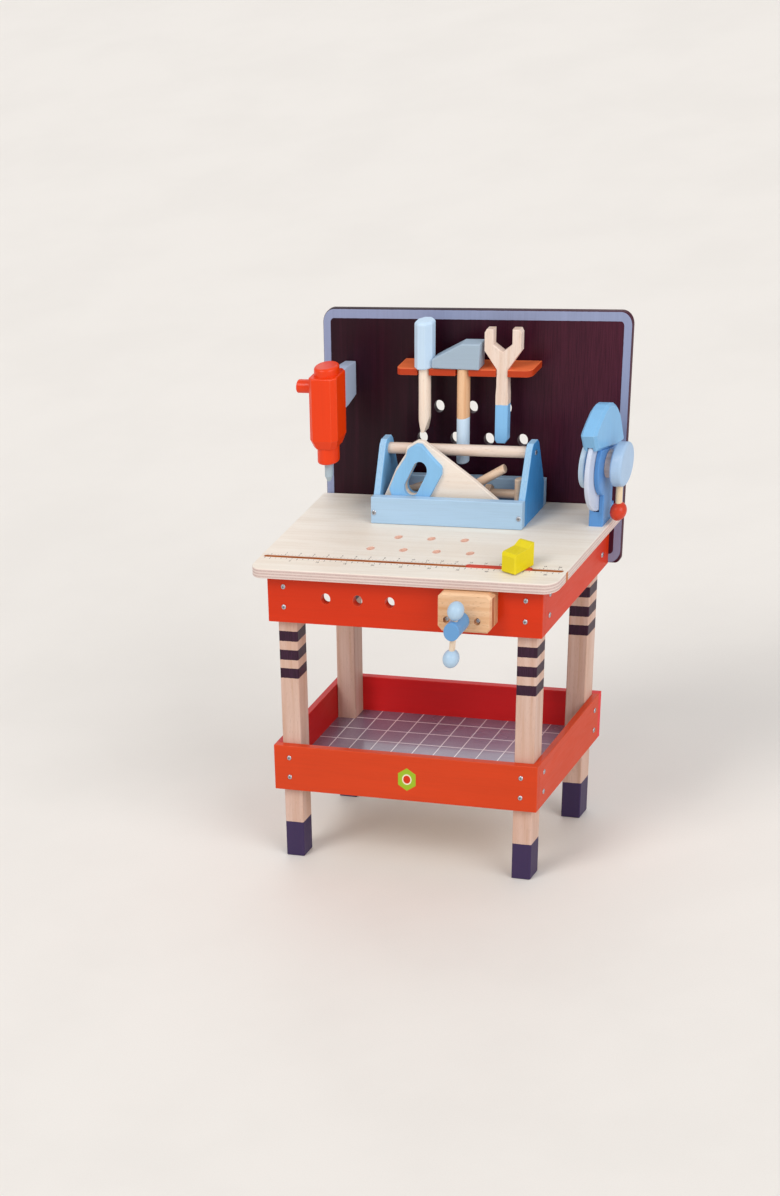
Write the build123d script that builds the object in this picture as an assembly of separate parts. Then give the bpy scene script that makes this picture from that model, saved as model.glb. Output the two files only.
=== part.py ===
# Toy wooden tool bench with vice, bench saw, tool rack, hand tools and toolbox.
# Millimetres. X to the right, the front faces -Y, Z up. The origin is on the
# floor at the centre of the leg footprint.
from build123d import *
import os
from math import sin, cos, radians

os.makedirs("parts", exist_ok=True)

# ------------------------------------------------------------------ fits
PRESS = 0.02             # clearance on radius of a glued or pressed joint
RUN = 0.08               # running clearance on radius
GAP = 0.2                # gap under a loose piece, or at the end of a tenon

# ----------------------------------------------------------------- frame
FRAME_W, FRAME_D = 490.0, 285.0      # outside of the apron and tray frames
PANEL_T = 12.0                       # apron and tray panel thickness
HALF_W, HALF_D = FRAME_W / 2, FRAME_D / 2
LEG_X, LEG_Y = HALF_W - PANEL_T, HALF_D - PANEL_T    # outer faces of the legs
LEG = 35.0                           # square leg
LEG_TOP = 472.0
APRON_Z = (398.0, LEG_TOP)
TRAY_Z = (121.0, 196.0)
PANEL_EDGE_R = 1.2
FLOOR_Z1 = 139.3                     # tray floor, top and bottom
FLOOR_Z0 = FLOOR_Z1 - 6.0
CLEAT = 12.0                         # square cleat
VICE_GAP_X = (60.0, 174.0)           # the front top cleat is broken here
APRON_HOLES_X = (-138.0, -80.0, -22.0)
APRON_HOLES_Z = 438.7
APRON_HOLE_R = 8.5

# --------------------------------------------------------------- worktop
TOP_X = 271.0                        # half width
TOP_Y0, TOP_Y1 = -160.0, 142.0
TOP_Z0, TOP_Z1 = LEG_TOP, 487.0
TOP_FRONT_R, TOP_REAR_R = 22.0, 3.0  # plan corner radii
TOP_EDGE_R = 1.5
SLOT_X = 265.0                       # half length of the slot
SLOT_Y, SLOT_W = -110.0, 8.0
SLOT_Z = TOP_Z1 - 9.0                # floor of the slot
TOP_HOLE_R = 7.0
TOP_HOLES = [                        # x, y
    (-62.0, -16.5), (-3.0, -16.5), (56.0, -16.5),
    (-91.5, -63.0), (-32.5, -63.0), (26.5, -63.0), (85.5, -63.0)]

# ------------------------------------------------------------- backboard
BOARD_X = 266.0                      # half width
BOARD_Y0 = HALF_D
BOARD_Y1 = BOARD_Y0 + 9.0
BOARD_Z0, BOARD_Z1 = 399.0, 760.0
BOARD_R_TOP, BOARD_R_BOTTOM = 20.0, 10.0
BOARD_EDGE_R = 1.3
BOARD_HOLE_R = 9.0
BOARD_HOLES = [                      # x, z
    (-59.0, 622.5), (0.0, 622.5), (59.0, 622.5),
    (-88.5, 576.5), (-29.5, 576.5), (29.5, 576.5), (88.5, 576.5)]
PEG_X, PEG_Z, PEG_R = -217.0, 662.0, 5.0     # peg that carries the drill
PEG_Y0 = 118.0

# ------------------------------------------------------------- tool rack
RACK_X, RACK_Y0 = 118.0, 100.0       # half width, front face
RACK_Z0, RACK_Z1 = 681.5, 691.0
RACK_CORNER_R = 10.0
TOOL_Y = 109.0
DRIVER_X, HAMMER_X, WRENCH_X = -70.0, -2.0, 66.4
RACK_SLOTS = [                       # x, width, depth of its centre behind TOOL_Y
    (DRIVER_X, 21.4, 0.5), (HAMMER_X, 23.4, 0.5), (WRENCH_X, 20.8, 5.0)]
REST_Z = RACK_Z1 + GAP               # underside of the tools resting on the rack
TENON_R = 8.0                        # round tenon of hammer and screwdriver

# ------------------------------------------------------------------ vice
VICE_X, VICE_Z = 117.0, 430.0        # spindle axis
JAW_X0, JAW_X1, JAW_Z0, JAW_Z1 = 74.0, 168.0, 412.0, 470.5
JAW_CHAMFER = 7.5
FIXED_Y0, FIXED_Y1 = -HALF_D - 13.0, -HALF_D     # fixed jaw, front and back
MOVING_Y1 = FIXED_Y0 - 0.5                       # moving jaw, back and front
MOVING_Y0 = MOVING_Y1 - 14.0
NUT_Y1 = -106.0                      # back face of the nut block
NUT_HALF_W, NUT_HALF_H = 20.0, 22.0
THREAD_R = 9.0
THREAD_PASS = 0.6                    # free clearances on radius
GUIDE_PASS = 0.4
THREAD_Y1 = -82.0
KNOB_Y0, KNOB_R = -213.0, 13.8       # front part of the spindle
COLLAR_R, COLLAR_T = 13.0, 4.0
GUIDE_R, GUIDE_Y1 = 5.0, -88.0
GUIDES_X = (VICE_X - 27.0, VICE_X + 27.0)
GUIDE_SOCKET = 5.0                   # depth in the back of the moving jaw
SCREW_RECESS, SCREW_RECESS_R = 5.0, 5.6          # in its front
BAR_Y, BAR_TILT, BAR_R = -201.0, 5.8, 5.0        # tommy bar, tilt in degrees
BALL_R = 13.8
UPPER_BALL = KNOB_R + BALL_R + 0.3   # ball centres along the bar
LOWER_BALL = -45.0

# ---------------------------------------------------------------- screws
SHANK_R, PILOT_R = 1.75, 1.80
HEAD_R, HEAD_H = 3.9, 1.7
TIP_R, TIP_L = 0.4, 3.0
CROSS_W = 0.8                        # width of the cross recess
SCREW_LEN = 26.0
SUNK = 2.4                           # depth of the sunk rear apron screws
FRAME_SCREW_Z = (143.5, 176.0, 422.5, 454.0)

# Every screw is (seat point, direction into the wood, length).
FRAME_SCREWS = []
for side_x in (-1, 1):
    for side_y in (-1, 1):
        for z in FRAME_SCREW_Z:
            # the rear apron's screws are sunk below its face, under the board
            sunk = SUNK if side_y > 0 and z > APRON_Z[0] else 0.0
            FRAME_SCREWS.append(((side_x * (LEG_X - LEG / 2), side_y * (HALF_D - sunk), z),
                                 (0, -side_y, 0), SCREW_LEN))
            FRAME_SCREWS.append(((side_x * HALF_W, side_y * (LEG_Y - LEG / 2), z),
                                 (-side_x, 0, 0), SCREW_LEN))

# from behind the front apron into the fixed jaw
JAW_SCREWS = [((x, -LEG_Y, z), (0, -1, 0), 18) for x in (82.0, 160.0)
              for z in (421.0, 461.0)]
# through the backboard into the rear apron, and into the tool rack
BOARD_SCREWS = [((x, BOARD_Y1, 435.0), (0, -1, 0), 18)
                for x in (-190.0, -65.0, 65.0, 190.0)]
RACK_SCREWS = [((x, BOARD_Y1, (RACK_Z0 + RACK_Z1) / 2), (0, -1, 0), 24)
               for x in (-100.0, -36.0, 33.0, 100.0)]
# through the apron cleats into the worktop; none at the front right, by the vice
CLEAT_CX, CLEAT_CY = LEG_X - CLEAT / 2, LEG_Y - CLEAT / 2
CLEAT_SCREWS = [((x, y, TOP_Z0 - CLEAT), (0, 0, 1), 22) for x, y in (
    (-150.0, -CLEAT_CY), (-150.0, CLEAT_CY), (150.0, CLEAT_CY),
    (-CLEAT_CX, -50.0), (-CLEAT_CX, 50.0), (CLEAT_CX, -50.0), (CLEAT_CX, 50.0))]
NUT_SCREWS = [((VICE_X + dx, NUT_Y1, VICE_Z + dz), (0, -1, 0), 22)
              for dx in (-15.5, 15.5) for dz in (-17.0, 17.0)]
GUIDE_SCREWS = [((x, MOVING_Y0 + SCREW_RECESS, VICE_Z), (0, 1, 0), 20)
                for x in GUIDES_X]


# --------------------------------------------------------------- helpers
def bx(x0, x1, y0, y1, z0, z1):
    """Box between limits."""
    return Pos((x0 + x1) / 2, (y0 + y1) / 2, (z0 + z1) / 2) * \
        Box(x1 - x0, y1 - y0, z1 - z0)


def span(side, outer, inner):
    """Ordered limits of a strip on the side (-1 or 1) of the centre."""
    return sorted((side * outer, side * inner))


def rod(start, end, r, end_r=None):
    """Cylinder or cone from one point to another."""
    start = Vector(*start)
    axis = Vector(*end) - start
    n = axis.length
    solid = Cylinder(r, n) if end_r is None else Cone(r, end_r, n)
    return Plane(origin=start, z_dir=axis) * Pos(0, 0, n / 2) * solid


def rod_x(y, z, x0, x1, r):
    return rod((x0, y, z), (x1, y, z), r)


def rod_y(x, z, y0, y1, r):
    return rod((x, y0, z), (x, y1, z), r)


def rod_z(x, y, z0, z1, r):
    return rod((x, y, z0), (x, y, z1), r)


def prism(pts, axis, a, b):
    """Polygon in the plane normal to an axis, from a to b along it.
    Points are (y, z) for axis 'x', (x, z) for 'y' and (x, y) for 'z'."""
    i = "xyz".index(axis)
    corners = [Vector(*p[:i], a, *p[i:]) for p in pts]
    direction = [0, 0, 0]
    direction[i] = 1
    face = make_face(Polyline(*corners, close=True))
    return extrude(face, amount=b - a, dir=Vector(*direction))


# Edge pickers: edges parallel to an axis, or lying at its low or high end.
def parallel(axis):
    return lambda part: part.edges().filter_by(axis)


def low(axis):
    return lambda part: part.edges().group_by(axis)[0]


def high(axis):
    return lambda part: part.edges().group_by(axis)[-1]


def both(axis):
    return lambda part: low(axis)(part) + high(axis)(part)


def dress(operation, part, size, pick):
    """Fillet or chamfer. An edge set that cannot take the full size gets a
    smaller one, and is left sharp if that fails too."""
    edges = pick(part)
    for k in (1.0, 0.6, 0.3):
        try:
            return operation(edges, size * k)
        except Exception:
            continue
    return part


def soften(part, r, pick=lambda part: part.edges()):
    return dress(fillet, part, r, pick)


def bevel(part, size, pick):
    return dress(chamfer, part, size, pick)


def one(shape):
    """The single solid of a shape, or a compound where there are several."""
    solids = shape.solids()
    return solids[0] if len(solids) == 1 else Compound(children=list(solids))


def save(shape, name):
    if isinstance(shape, (list, tuple)):
        shape = Compound(children=list(shape))
    shape.label = name
    export_step(shape, "parts/" + name + ".step")


def screw(seat, direction, length):
    """Pan head wood screw with a cross recess and a plain shank."""
    plane = Plane(origin=Vector(*seat), z_dir=Vector(*direction).normalized() * -1.0)
    flat_r = HEAD_R * 0.42
    profile = make_face(Wire([
        Line((0, 0), (HEAD_R, 0)),
        Line((HEAD_R, 0), (HEAD_R, HEAD_H * 0.35)),
        ThreePointArc((HEAD_R, HEAD_H * 0.35), (HEAD_R * 0.78, HEAD_H * 0.86),
                      (flat_r, HEAD_H)),
        Line((flat_r, HEAD_H), (0, HEAD_H)),
        Line((0, HEAD_H), (0, 0))]))
    head = revolve(Plane.XZ * profile, Axis.Z)
    cross_1 = Pos(0, 0, HEAD_H - 0.5) * Box(HEAD_R * 1.1, CROSS_W, 1.4)
    cross_2 = Pos(0, 0, HEAD_H - 0.5) * Box(CROSS_W, HEAD_R * 1.1, 1.4)
    head = head - cross_1 - cross_2
    shank = Pos(0, 0, -(length - TIP_L) / 2) * Cylinder(SHANK_R, length - TIP_L)
    tip = Pos(0, 0, -(length - TIP_L / 2)) * Rot(180, 0, 0) * Cone(SHANK_R, TIP_R, TIP_L)
    return plane * (head + shank + tip)


def pilot(seat, direction, length):
    """Cutter for a screw's hole, from above its seat to past its tip."""
    seat, direction = Vector(*seat), Vector(*direction).normalized()
    end = seat + direction * (length + 0.6)
    start = seat - direction * 2.0
    return rod((start.X, start.Y, start.Z), (end.X, end.Y, end.Z), PILOT_R)


def drill(shape, screws):
    for s in screws:
        shape = shape - pilot(*s)
    return shape


def drill_frame(shape, box):
    """Drill only for the frame screws near the shape's box."""
    x0, x1, y0, y1, z0, z1 = box
    return drill(shape, [
        s for s in FRAME_SCREWS
        if x0 - 30 < s[0][0] < x1 + 30 and y0 - 30 < s[0][1] < y1 + 30
        and z0 - 3 < s[0][2] < z1 + 3])


# ----------------------------------------------------------------- frame
def leg(side_x, side_y):
    box = (*span(side_x, LEG_X, LEG_X - LEG), *span(side_y, LEG_Y, LEG_Y - LEG),
           0, LEG_TOP)
    post = soften(bx(*box), 2.2, parallel(Axis.Z))
    post = bevel(post, 0.8, low(Axis.Z))
    return drill_frame(post, box)


def cross_panel(side_y, z0, z1):
    """Full width panel at the front or rear of a frame."""
    box = (-HALF_W, HALF_W, *span(side_y, HALF_D, LEG_Y), z0, z1)
    return drill_frame(soften(bx(*box), PANEL_EDGE_R), box)


def side_panel(side_x, z0, z1):
    """Panel between the front and rear ones, at the left or right."""
    box = (*span(side_x, HALF_W, LEG_X), -LEG_Y, LEG_Y, z0, z1)
    return drill_frame(soften(bx(*box), PANEL_EDGE_R, parallel(Axis.Y)), box)


def apron_front():
    apron = cross_panel(-1, *APRON_Z)
    y0, y1 = -HALF_D - 1, -LEG_Y + 1
    for x in APRON_HOLES_X:
        apron = apron - rod_y(x, APRON_HOLES_Z, y0, y1, APRON_HOLE_R)
    apron = apron - rod_y(VICE_X, VICE_Z, y0, y1, THREAD_R + THREAD_PASS)
    for x in GUIDES_X:
        apron = apron - rod_y(x, VICE_Z, y0, y1, GUIDE_R + GUIDE_PASS)
    return drill(apron, JAW_SCREWS)


def apron_rear():
    apron = drill(cross_panel(1, *APRON_Z), BOARD_SCREWS)
    # counterbores of the sunk screws
    for (x, y, z), direction, length in FRAME_SCREWS:
        if direction[1] < 0 and z > APRON_Z[0]:
            apron = apron - rod_y(x, z, HALF_D - SUNK, HALF_D + 1, HEAD_R + 0.3)
    return apron


def tray_floor():
    """Thin board notched round the four legs."""
    half_x, half_y = LEG_X - 0.2, LEG_Y - 0.2
    board = bx(-half_x, half_x, -half_y, half_y, FLOOR_Z0, FLOOR_Z1)
    for side_x in (-1, 1):
        for side_y in (-1, 1):
            board = board - bx(*span(side_x, LEG_X + 1, LEG_X - LEG - 0.3),
                               *span(side_y, LEG_Y + 1, LEG_Y - LEG - 0.3),
                               FLOOR_Z0 - 1, FLOOR_Z1 + 1)
    return board


def frame_cleats():
    """Strips inside the frames, under the tray floor and under the worktop."""
    half_x, half_y = LEG_X - LEG - 2, LEG_Y - LEG - 2
    front = span(-1, LEG_Y, LEG_Y - CLEAT)
    rear = span(1, LEG_Y, LEG_Y - CLEAT)
    under_floor = (FLOOR_Z0 - CLEAT + 0.3, FLOOR_Z0)
    under_top = (TOP_Z0 - CLEAT, TOP_Z0)
    boxes_x = [(-half_x, half_x, *front, *under_floor),
               (VICE_GAP_X[1], half_x, *front, *under_top),
               (-half_x, VICE_GAP_X[0], *front, *under_top),
               (-half_x, half_x, *rear, *under_floor),
               (-half_x, half_x, *rear, *under_top)]
    boxes_y = [(*span(side, LEG_X, LEG_X - CLEAT), -half_y, half_y, *heights)
               for side in (-1, 1) for heights in (under_floor, under_top)]
    cleats = [soften(bx(*box), 1.0, parallel(Axis.X)) for box in boxes_x]
    cleats += [soften(bx(*box), 1.0, parallel(Axis.Y)) for box in boxes_y]
    return [one(drill(cleat, CLEAT_SCREWS)) for cleat in cleats]


def frame_screws():
    return [screw(*s) for s in FRAME_SCREWS]


def fixing_screws():
    """Screws of the board, the rack, the vice and the cleats."""
    return [screw(*s) for s in
            BOARD_SCREWS + RACK_SCREWS + JAW_SCREWS + NUT_SCREWS + CLEAT_SCREWS]


# --------------------------------------------- worktop, backboard and rack
def worktop():
    top = bx(-TOP_X, TOP_X, TOP_Y0, TOP_Y1, TOP_Z0, TOP_Z1)
    top = fillet(top.edges().filter_by(Axis.Z).group_by(Axis.Y)[0], TOP_FRONT_R)
    top = fillet(top.edges().filter_by(Axis.Z).group_by(Axis.Y)[-1], TOP_REAR_R)
    top = soften(top, TOP_EDGE_R, both(Axis.Z))
    slot = bx(-SLOT_X, SLOT_X, SLOT_Y - SLOT_W / 2, SLOT_Y + SLOT_W / 2,
              SLOT_Z, TOP_Z1 + 2)
    top = top - fillet(slot.edges().filter_by(Axis.Z), SLOT_W / 2 - 0.05)
    for x, y in TOP_HOLES:
        top = top - rod_z(x, y, TOP_Z0 - 1, TOP_Z1 + 1, TOP_HOLE_R)
    return drill(top, CLEAT_SCREWS)


def backboard():
    board = bx(-BOARD_X, BOARD_X, BOARD_Y0, BOARD_Y1, BOARD_Z0, BOARD_Z1)
    board = fillet(board.edges().filter_by(Axis.Y).group_by(Axis.Z)[-1], BOARD_R_TOP)
    board = fillet(board.edges().filter_by(Axis.Y).group_by(Axis.Z)[0], BOARD_R_BOTTOM)
    board = soften(board, BOARD_EDGE_R, both(Axis.Y))
    for x, z in BOARD_HOLES:
        board = board - rod_y(x, z, BOARD_Y0 - 1, BOARD_Y1 + 1, BOARD_HOLE_R)
    board = board - rod_y(PEG_X, PEG_Z, BOARD_Y0 - 1, BOARD_Y1 + 1, PEG_R + 0.03)
    return drill(board, BOARD_SCREWS + RACK_SCREWS)


def tool_rack():
    """Shelf with three round-ended slots open to the front."""
    rack = bx(-RACK_X, RACK_X, RACK_Y0, BOARD_Y0, RACK_Z0, RACK_Z1)
    rack = fillet(rack.edges().filter_by(Axis.Z).group_by(Axis.Y)[0], RACK_CORNER_R)
    for x, width, depth in RACK_SLOTS:
        y, r = TOOL_Y + depth, width / 2
        rack = rack - bx(x - r, x + r, RACK_Y0 - 5, y, RACK_Z0 - 1, RACK_Z1 + 1)
        rack = rack - rod_z(x, y, RACK_Z0 - 1, RACK_Z1 + 1, r)
    rack = drill(rack, RACK_SCREWS)
    return soften(rack, 0.8, lambda part: part.edges().filter_by(GeomType.LINE)
                  .filter_by(Axis.X))


def drill_peg():
    peg = rod_y(PEG_X, PEG_Z, PEG_Y0, BOARD_Y1 - GAP, PEG_R)
    return soften(peg, 1.2, low(Axis.Y))


# ------------------------------------------------------------------ vice
def jaw_blank(y0, y1):
    """Eight-sided jaw plate; the upper corners are cut a little less high."""
    c, c_top = JAW_CHAMFER, JAW_CHAMFER * 0.8
    return prism([(JAW_X0 + c, JAW_Z0), (JAW_X1 - c, JAW_Z0),
                  (JAW_X1, JAW_Z0 + c), (JAW_X1, JAW_Z1 - c_top),
                  (JAW_X1 - c, JAW_Z1), (JAW_X0 + c, JAW_Z1),
                  (JAW_X0, JAW_Z1 - c_top), (JAW_X0, JAW_Z0 + c)], "y", y0, y1)


def vice_fixed_jaw():
    jaw = soften(jaw_blank(FIXED_Y0, FIXED_Y1), 1.2, low(Axis.Y))
    y0, y1 = FIXED_Y0 - 1, FIXED_Y1 + 1
    jaw = jaw - rod_y(VICE_X, VICE_Z, y0, y1, THREAD_R + THREAD_PASS)
    for x in GUIDES_X:
        jaw = jaw - rod_y(x, VICE_Z, y0, y1, GUIDE_R + RUN)
    return drill(jaw, JAW_SCREWS)


def vice_nut_block():
    """Block behind the front apron that carries the spindle."""
    block = bx(VICE_X - NUT_HALF_W, VICE_X + NUT_HALF_W, -LEG_Y, NUT_Y1,
               VICE_Z - NUT_HALF_H, VICE_Z + NUT_HALF_H)
    block = soften(block, 2.0, high(Axis.Y))
    block = block - rod_y(VICE_X, VICE_Z, -LEG_Y - 1, NUT_Y1 + 1, THREAD_R + RUN)
    return drill(block, NUT_SCREWS)


def vice_moving_jaw():
    jaw = bevel(jaw_blank(MOVING_Y0, MOVING_Y1), 3.0, low(Axis.Y))
    jaw = soften(jaw, 0.8, high(Axis.Y))
    y0, y1 = MOVING_Y0 - 1, MOVING_Y1 + 1
    jaw = jaw - rod_y(VICE_X, VICE_Z, y0, y1, THREAD_R + RUN)
    # collar recess in the back
    jaw = jaw - rod_y(VICE_X, VICE_Z, MOVING_Y1 - COLLAR_T - 0.5, y1, COLLAR_R + 0.4)
    for x in GUIDES_X:      # rod socket, screw head recess, screw hole
        jaw = jaw - rod_y(x, VICE_Z, MOVING_Y1 - GUIDE_SOCKET, y1, GUIDE_R + PRESS)
        jaw = jaw - rod_y(x, VICE_Z, y0, MOVING_Y0 + SCREW_RECESS, SCREW_RECESS_R)
        jaw = jaw - rod_y(x, VICE_Z, MOVING_Y0, MOVING_Y1, 1.9)
    return jaw


def vice_guide_rods():
    rods = []
    for x, fixing in zip(GUIDES_X, GUIDE_SCREWS):
        guide = rod_y(x, VICE_Z, MOVING_Y1 - GUIDE_SOCKET + 0.1, GUIDE_Y1, GUIDE_R)
        guide = bevel(guide, 1.0, high(Axis.Y))
        rods.append(one(guide - pilot(*fixing)))
    return rods


def vice_guide_screws():
    return [screw(*s) for s in GUIDE_SCREWS]


def on_bar(distance):
    """Point on the tommy bar's axis, measured up from the spindle axis."""
    tilt = radians(BAR_TILT)
    return (VICE_X + sin(tilt) * distance, BAR_Y, VICE_Z + cos(tilt) * distance)


def vice_spindle():
    spindle = rod_y(VICE_X, VICE_Z, KNOB_Y0, MOVING_Y0 - 0.2, KNOB_R)
    spindle = soften(spindle, 1.6, low(Axis.Y))
    spindle = soften(spindle, 0.8, high(Axis.Y))
    spindle = spindle + rod_y(VICE_X, VICE_Z, MOVING_Y0 - 0.3, THREAD_Y1, THREAD_R)
    spindle = bevel(spindle, 1.4, high(Axis.Y))
    spindle = spindle + rod_y(VICE_X, VICE_Z, MOVING_Y1 - COLLAR_T, MOVING_Y1 - 0.2,
                              COLLAR_R)
    return one(spindle - rod(on_bar(-20), on_bar(20), BAR_R + RUN))


def tommy_bar():
    return rod(on_bar(LOWER_BALL - 3), on_bar(UPPER_BALL + 3), BAR_R)


def tommy_balls():
    """Balls on the bar's ends, bored blind from the spindle side."""
    balls = []
    for centre, away in ((UPPER_BALL, 1), (LOWER_BALL, -1)):
        ball = Pos(*on_bar(centre)) * Sphere(BALL_R)
        bore = rod(on_bar(centre - away * 15.5), on_bar(centre + away * 3.2),
                   BAR_R + PRESS)
        balls.append(one(ball - bore))
    return balls


# ------------------------------------------------------------- bench saw
SAW_Y, SAW_Z = 71.0, 574.0           # axle axis
STAND_X0, STAND_X1 = 240.0, 264.0
STAND_Y0, STAND_Y1 = 57.0, 104.0
FOOT_Z1, POST_Z1 = 508.0, 560.0      # tops of the foot and of the post
STAND_HEAD_R = 43.0
GUARD_X0, GUARD_X1 = 238.5, 265.5
GROOVE_X0, GROOVE_X1 = 247.0, 257.0
BLADE_X0, BLADE_X1, BLADE_R = 248.0, 256.0, 65.0
AXLE_R, AXLE_X1 = 5.0, 293.0
DISC_X0, DISC_X1, DISC_R = 225.5, 236.0, 34.0
BOSS_R = 19.0
WHEEL_X0, WHEEL_X1, WHEEL_R = 276.0, 296.0, 30.5
CRANK_X, CRANK_R = 284.5, 5.5
CRANK_BALL_Z, CRANK_BALL_R = 506.0, 13.5
# joint between stand and guard, (y, z) from front to back
JOINT = [(21, 609.5), (80, 593), (130, 588)]
# side outline of the guard, (y, z): over the top to the back, then the joint
GUARD_OUTLINE = [
    (5, 636), (14, 643.5), (30, 652), (46, 659), (60, 661.5), (72, 660), (86, 655),
    (101, 645.5), (115, 630), (124, 612), (129, 595)] + JOINT[::-1]


def saw_rod(x0, x1, r):
    """Cylinder on the axle's axis."""
    return rod_x(SAW_Y, SAW_Z, x0, x1, r)


def saw_stand():
    stand = bx(STAND_X0, STAND_X1, STAND_Y0, STAND_Y1, TOP_Z1, FOOT_Z1)
    stand = stand + bx(STAND_X0, STAND_X1, STAND_Y0, STAND_Y1 - 8, TOP_Z1, POST_Z1)
    stand = stand + saw_rod(STAND_X0, STAND_X1, STAND_HEAD_R)
    # the round head ends at the joint with the guard
    stand = stand - prism([(-20, 621), *JOINT, (170, 584), (170, 700), (-20, 700)],
                          "x", STAND_X0 - 2, STAND_X1 + 2)
    stand = soften(stand, 2.0, lambda part: both(Axis.X)(part).filter_by(
        lambda e: TOP_Z1 + 1 < e.center().Z < 585))
    stand = stand - saw_rod(GROOVE_X0, GROOVE_X1, BLADE_R + 2)
    return one(stand - saw_rod(STAND_X0 - 5, STAND_X1 + 5, AXLE_R + RUN))


def saw_guard():
    guard = prism(GUARD_OUTLINE, "x", GUARD_X0, GUARD_X1)
    guard = bevel(guard, 4.5, lambda part: both(Axis.X)(part).filter_by(
        lambda e: e.center().Z > 600 and e.center().Y < 126))
    return one(guard - saw_rod(GROOVE_X0, GROOVE_X1, BLADE_R + 3))


def saw_blade():
    blade = soften(saw_rod(BLADE_X0, BLADE_X1, BLADE_R), 2.6)
    return blade - saw_rod(BLADE_X0 - 1, BLADE_X1 + 1, AXLE_R + PRESS)


def saw_axle():
    return saw_rod(DISC_X0 + 2, AXLE_X1, AXLE_R)


def saw_disc():
    """Disc on the left end of the axle, bored blind."""
    disc = soften(saw_rod(DISC_X0, DISC_X1, DISC_R), 3.0)
    return disc - saw_rod(DISC_X0 + 1.9, DISC_X1 + 1, AXLE_R + PRESS)


def saw_bosses():
    """Spacers either side of the stand."""
    return [one(saw_rod(x0, x1, BOSS_R) - saw_rod(x0 - 1, x1 + 1, AXLE_R + PRESS))
            for x0, x1 in ((DISC_X1, STAND_X0 - 0.3), (STAND_X1 + 0.3, WHEEL_X0))]


def crank_wheel():
    wheel = soften(saw_rod(WHEEL_X0, WHEEL_X1, WHEEL_R), 4.5)
    wheel = wheel - saw_rod(WHEEL_X0 - 1, AXLE_X1 + 0.1, AXLE_R + PRESS)
    return wheel - rod_z(CRANK_X, SAW_Y, SAW_Z - 14, SAW_Z - 40, CRANK_R + PRESS)


def crank_peg():
    """Peg hanging from the rim of the wheel."""
    return rod_z(CRANK_X, SAW_Y, SAW_Z - 14.2, CRANK_BALL_Z - 3, CRANK_R)


def crank_ball():
    ball = Pos(CRANK_X, SAW_Y, CRANK_BALL_Z) * Sphere(CRANK_BALL_R)
    return one(ball - rod_z(CRANK_X, SAW_Y, CRANK_BALL_Z - 3.2, CRANK_BALL_Z + 20,
                            CRANK_R + PRESS))


# ------------------------------------------------------------ slide stop
RUNNER_X0, RUNNER_X1 = 98.0, 212.0
RUNNER_HALF_W = SLOT_W / 2 - 0.1
STOP_X, STOP_PIN_R, STOP_PIN_H = 187.0, 5.0, 21.0
STOP_W, STOP_L, STOP_H = 31.0, 44.0, 28.0
STOP_Z0 = TOP_Z1 + 1.9
STOP_YAW = -22.0                     # degrees


def stop_runner():
    """Strip lying in the worktop slot, with an upright pin."""
    runner = bx(RUNNER_X0, RUNNER_X1, SLOT_Y - RUNNER_HALF_W, SLOT_Y + RUNNER_HALF_W,
                SLOT_Z + 0.3, TOP_Z1 + 1.6)
    runner = fillet(runner.edges().filter_by(Axis.Z), RUNNER_HALF_W - 0.1)
    pin = rod_z(STOP_X, SLOT_Y, TOP_Z1, TOP_Z1 + STOP_PIN_H, STOP_PIN_R)
    return one(runner + soften(pin, 1.0, high(Axis.Z)))


def stop_block():
    """Block turning on the pin, its top raised at the rear."""
    half = STOP_L / 2
    block = prism([(-half, 0), (half, 0), (half, STOP_H + 5), (half - 5, STOP_H + 5),
                   (half - 15, STOP_H), (-half + 4, STOP_H), (-half, STOP_H - 4)],
                  "x", -STOP_W / 2, STOP_W / 2)
    block = bevel(block, 1.8, parallel(Axis.Z))
    block = soften(block, 0.9, parallel(Axis.X))
    block = block - rod_z(0, 0, -1, 20, STOP_PIN_R + RUN)
    return one(Pos(STOP_X, SLOT_Y, STOP_Z0) * Rot(0, 0, STOP_YAW) * block)


# ------------------------------------------- hammer, screwdriver, wrench
HAMMER_HALF_T = 12.5
HAMMER_BORE_Z, HAMMER_HANDLE_R, HAMMER_Z0 = 718, 10.6, 554
HAMMER_OUTLINE = [                   # x, z
    (-53.4, REST_Z + 1.5), (-53.4, 705.5), (-3, 727.5), (30, 727.5), (28.5, REST_Z)]
DRIVER_R, DRIVER_TOP, DRIVER_BORE_Z = 17.0, 757, 722     # R over the corners
SHAFT_R, SHAFT_Z0 = 10.0, 599
# right half of the wrench, (distance from its axis, z), bottom to jaw tip
WRENCH_HALF = [
    (7, 585.5), (10.9, 590.5), (10.9, 655), (9.9, 667), (9.9, 691.2),
    (31.3, 717), (31.3, 742), (28, 747), (16, 747), (16, 725.5)]
WRENCH_NOTCH_Z = 715.4               # bottom of the notch, on the axis
# the outline starts at the left jaw tip
WRENCH_OUTLINE = ([(WRENCH_X - dx, z) for dx, z in WRENCH_HALF[7::-1]]
                  + [(WRENCH_X + dx, z) for dx, z in WRENCH_HALF]
                  + [(WRENCH_X, WRENCH_NOTCH_Z)]
                  + [(WRENCH_X - dx, z) for dx, z in WRENCH_HALF[:7:-1]])


def hammer_head():
    head = soften(prism(HAMMER_OUTLINE, "y", TOOL_Y - HAMMER_HALF_T,
                        TOOL_Y + HAMMER_HALF_T), 2.2)
    return one(head - rod_z(HAMMER_X, TOOL_Y, REST_Z - 5, HAMMER_BORE_Z,
                            TENON_R + PRESS))


def hammer_handle():
    handle = rod_z(HAMMER_X, TOOL_Y, HAMMER_Z0, REST_Z - 0.02, HAMMER_HANDLE_R)
    handle = soften(handle, 2.5, low(Axis.Z))
    return one(handle + rod_z(HAMMER_X, TOOL_Y, REST_Z - 2, HAMMER_BORE_Z - GAP,
                              TENON_R))


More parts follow.
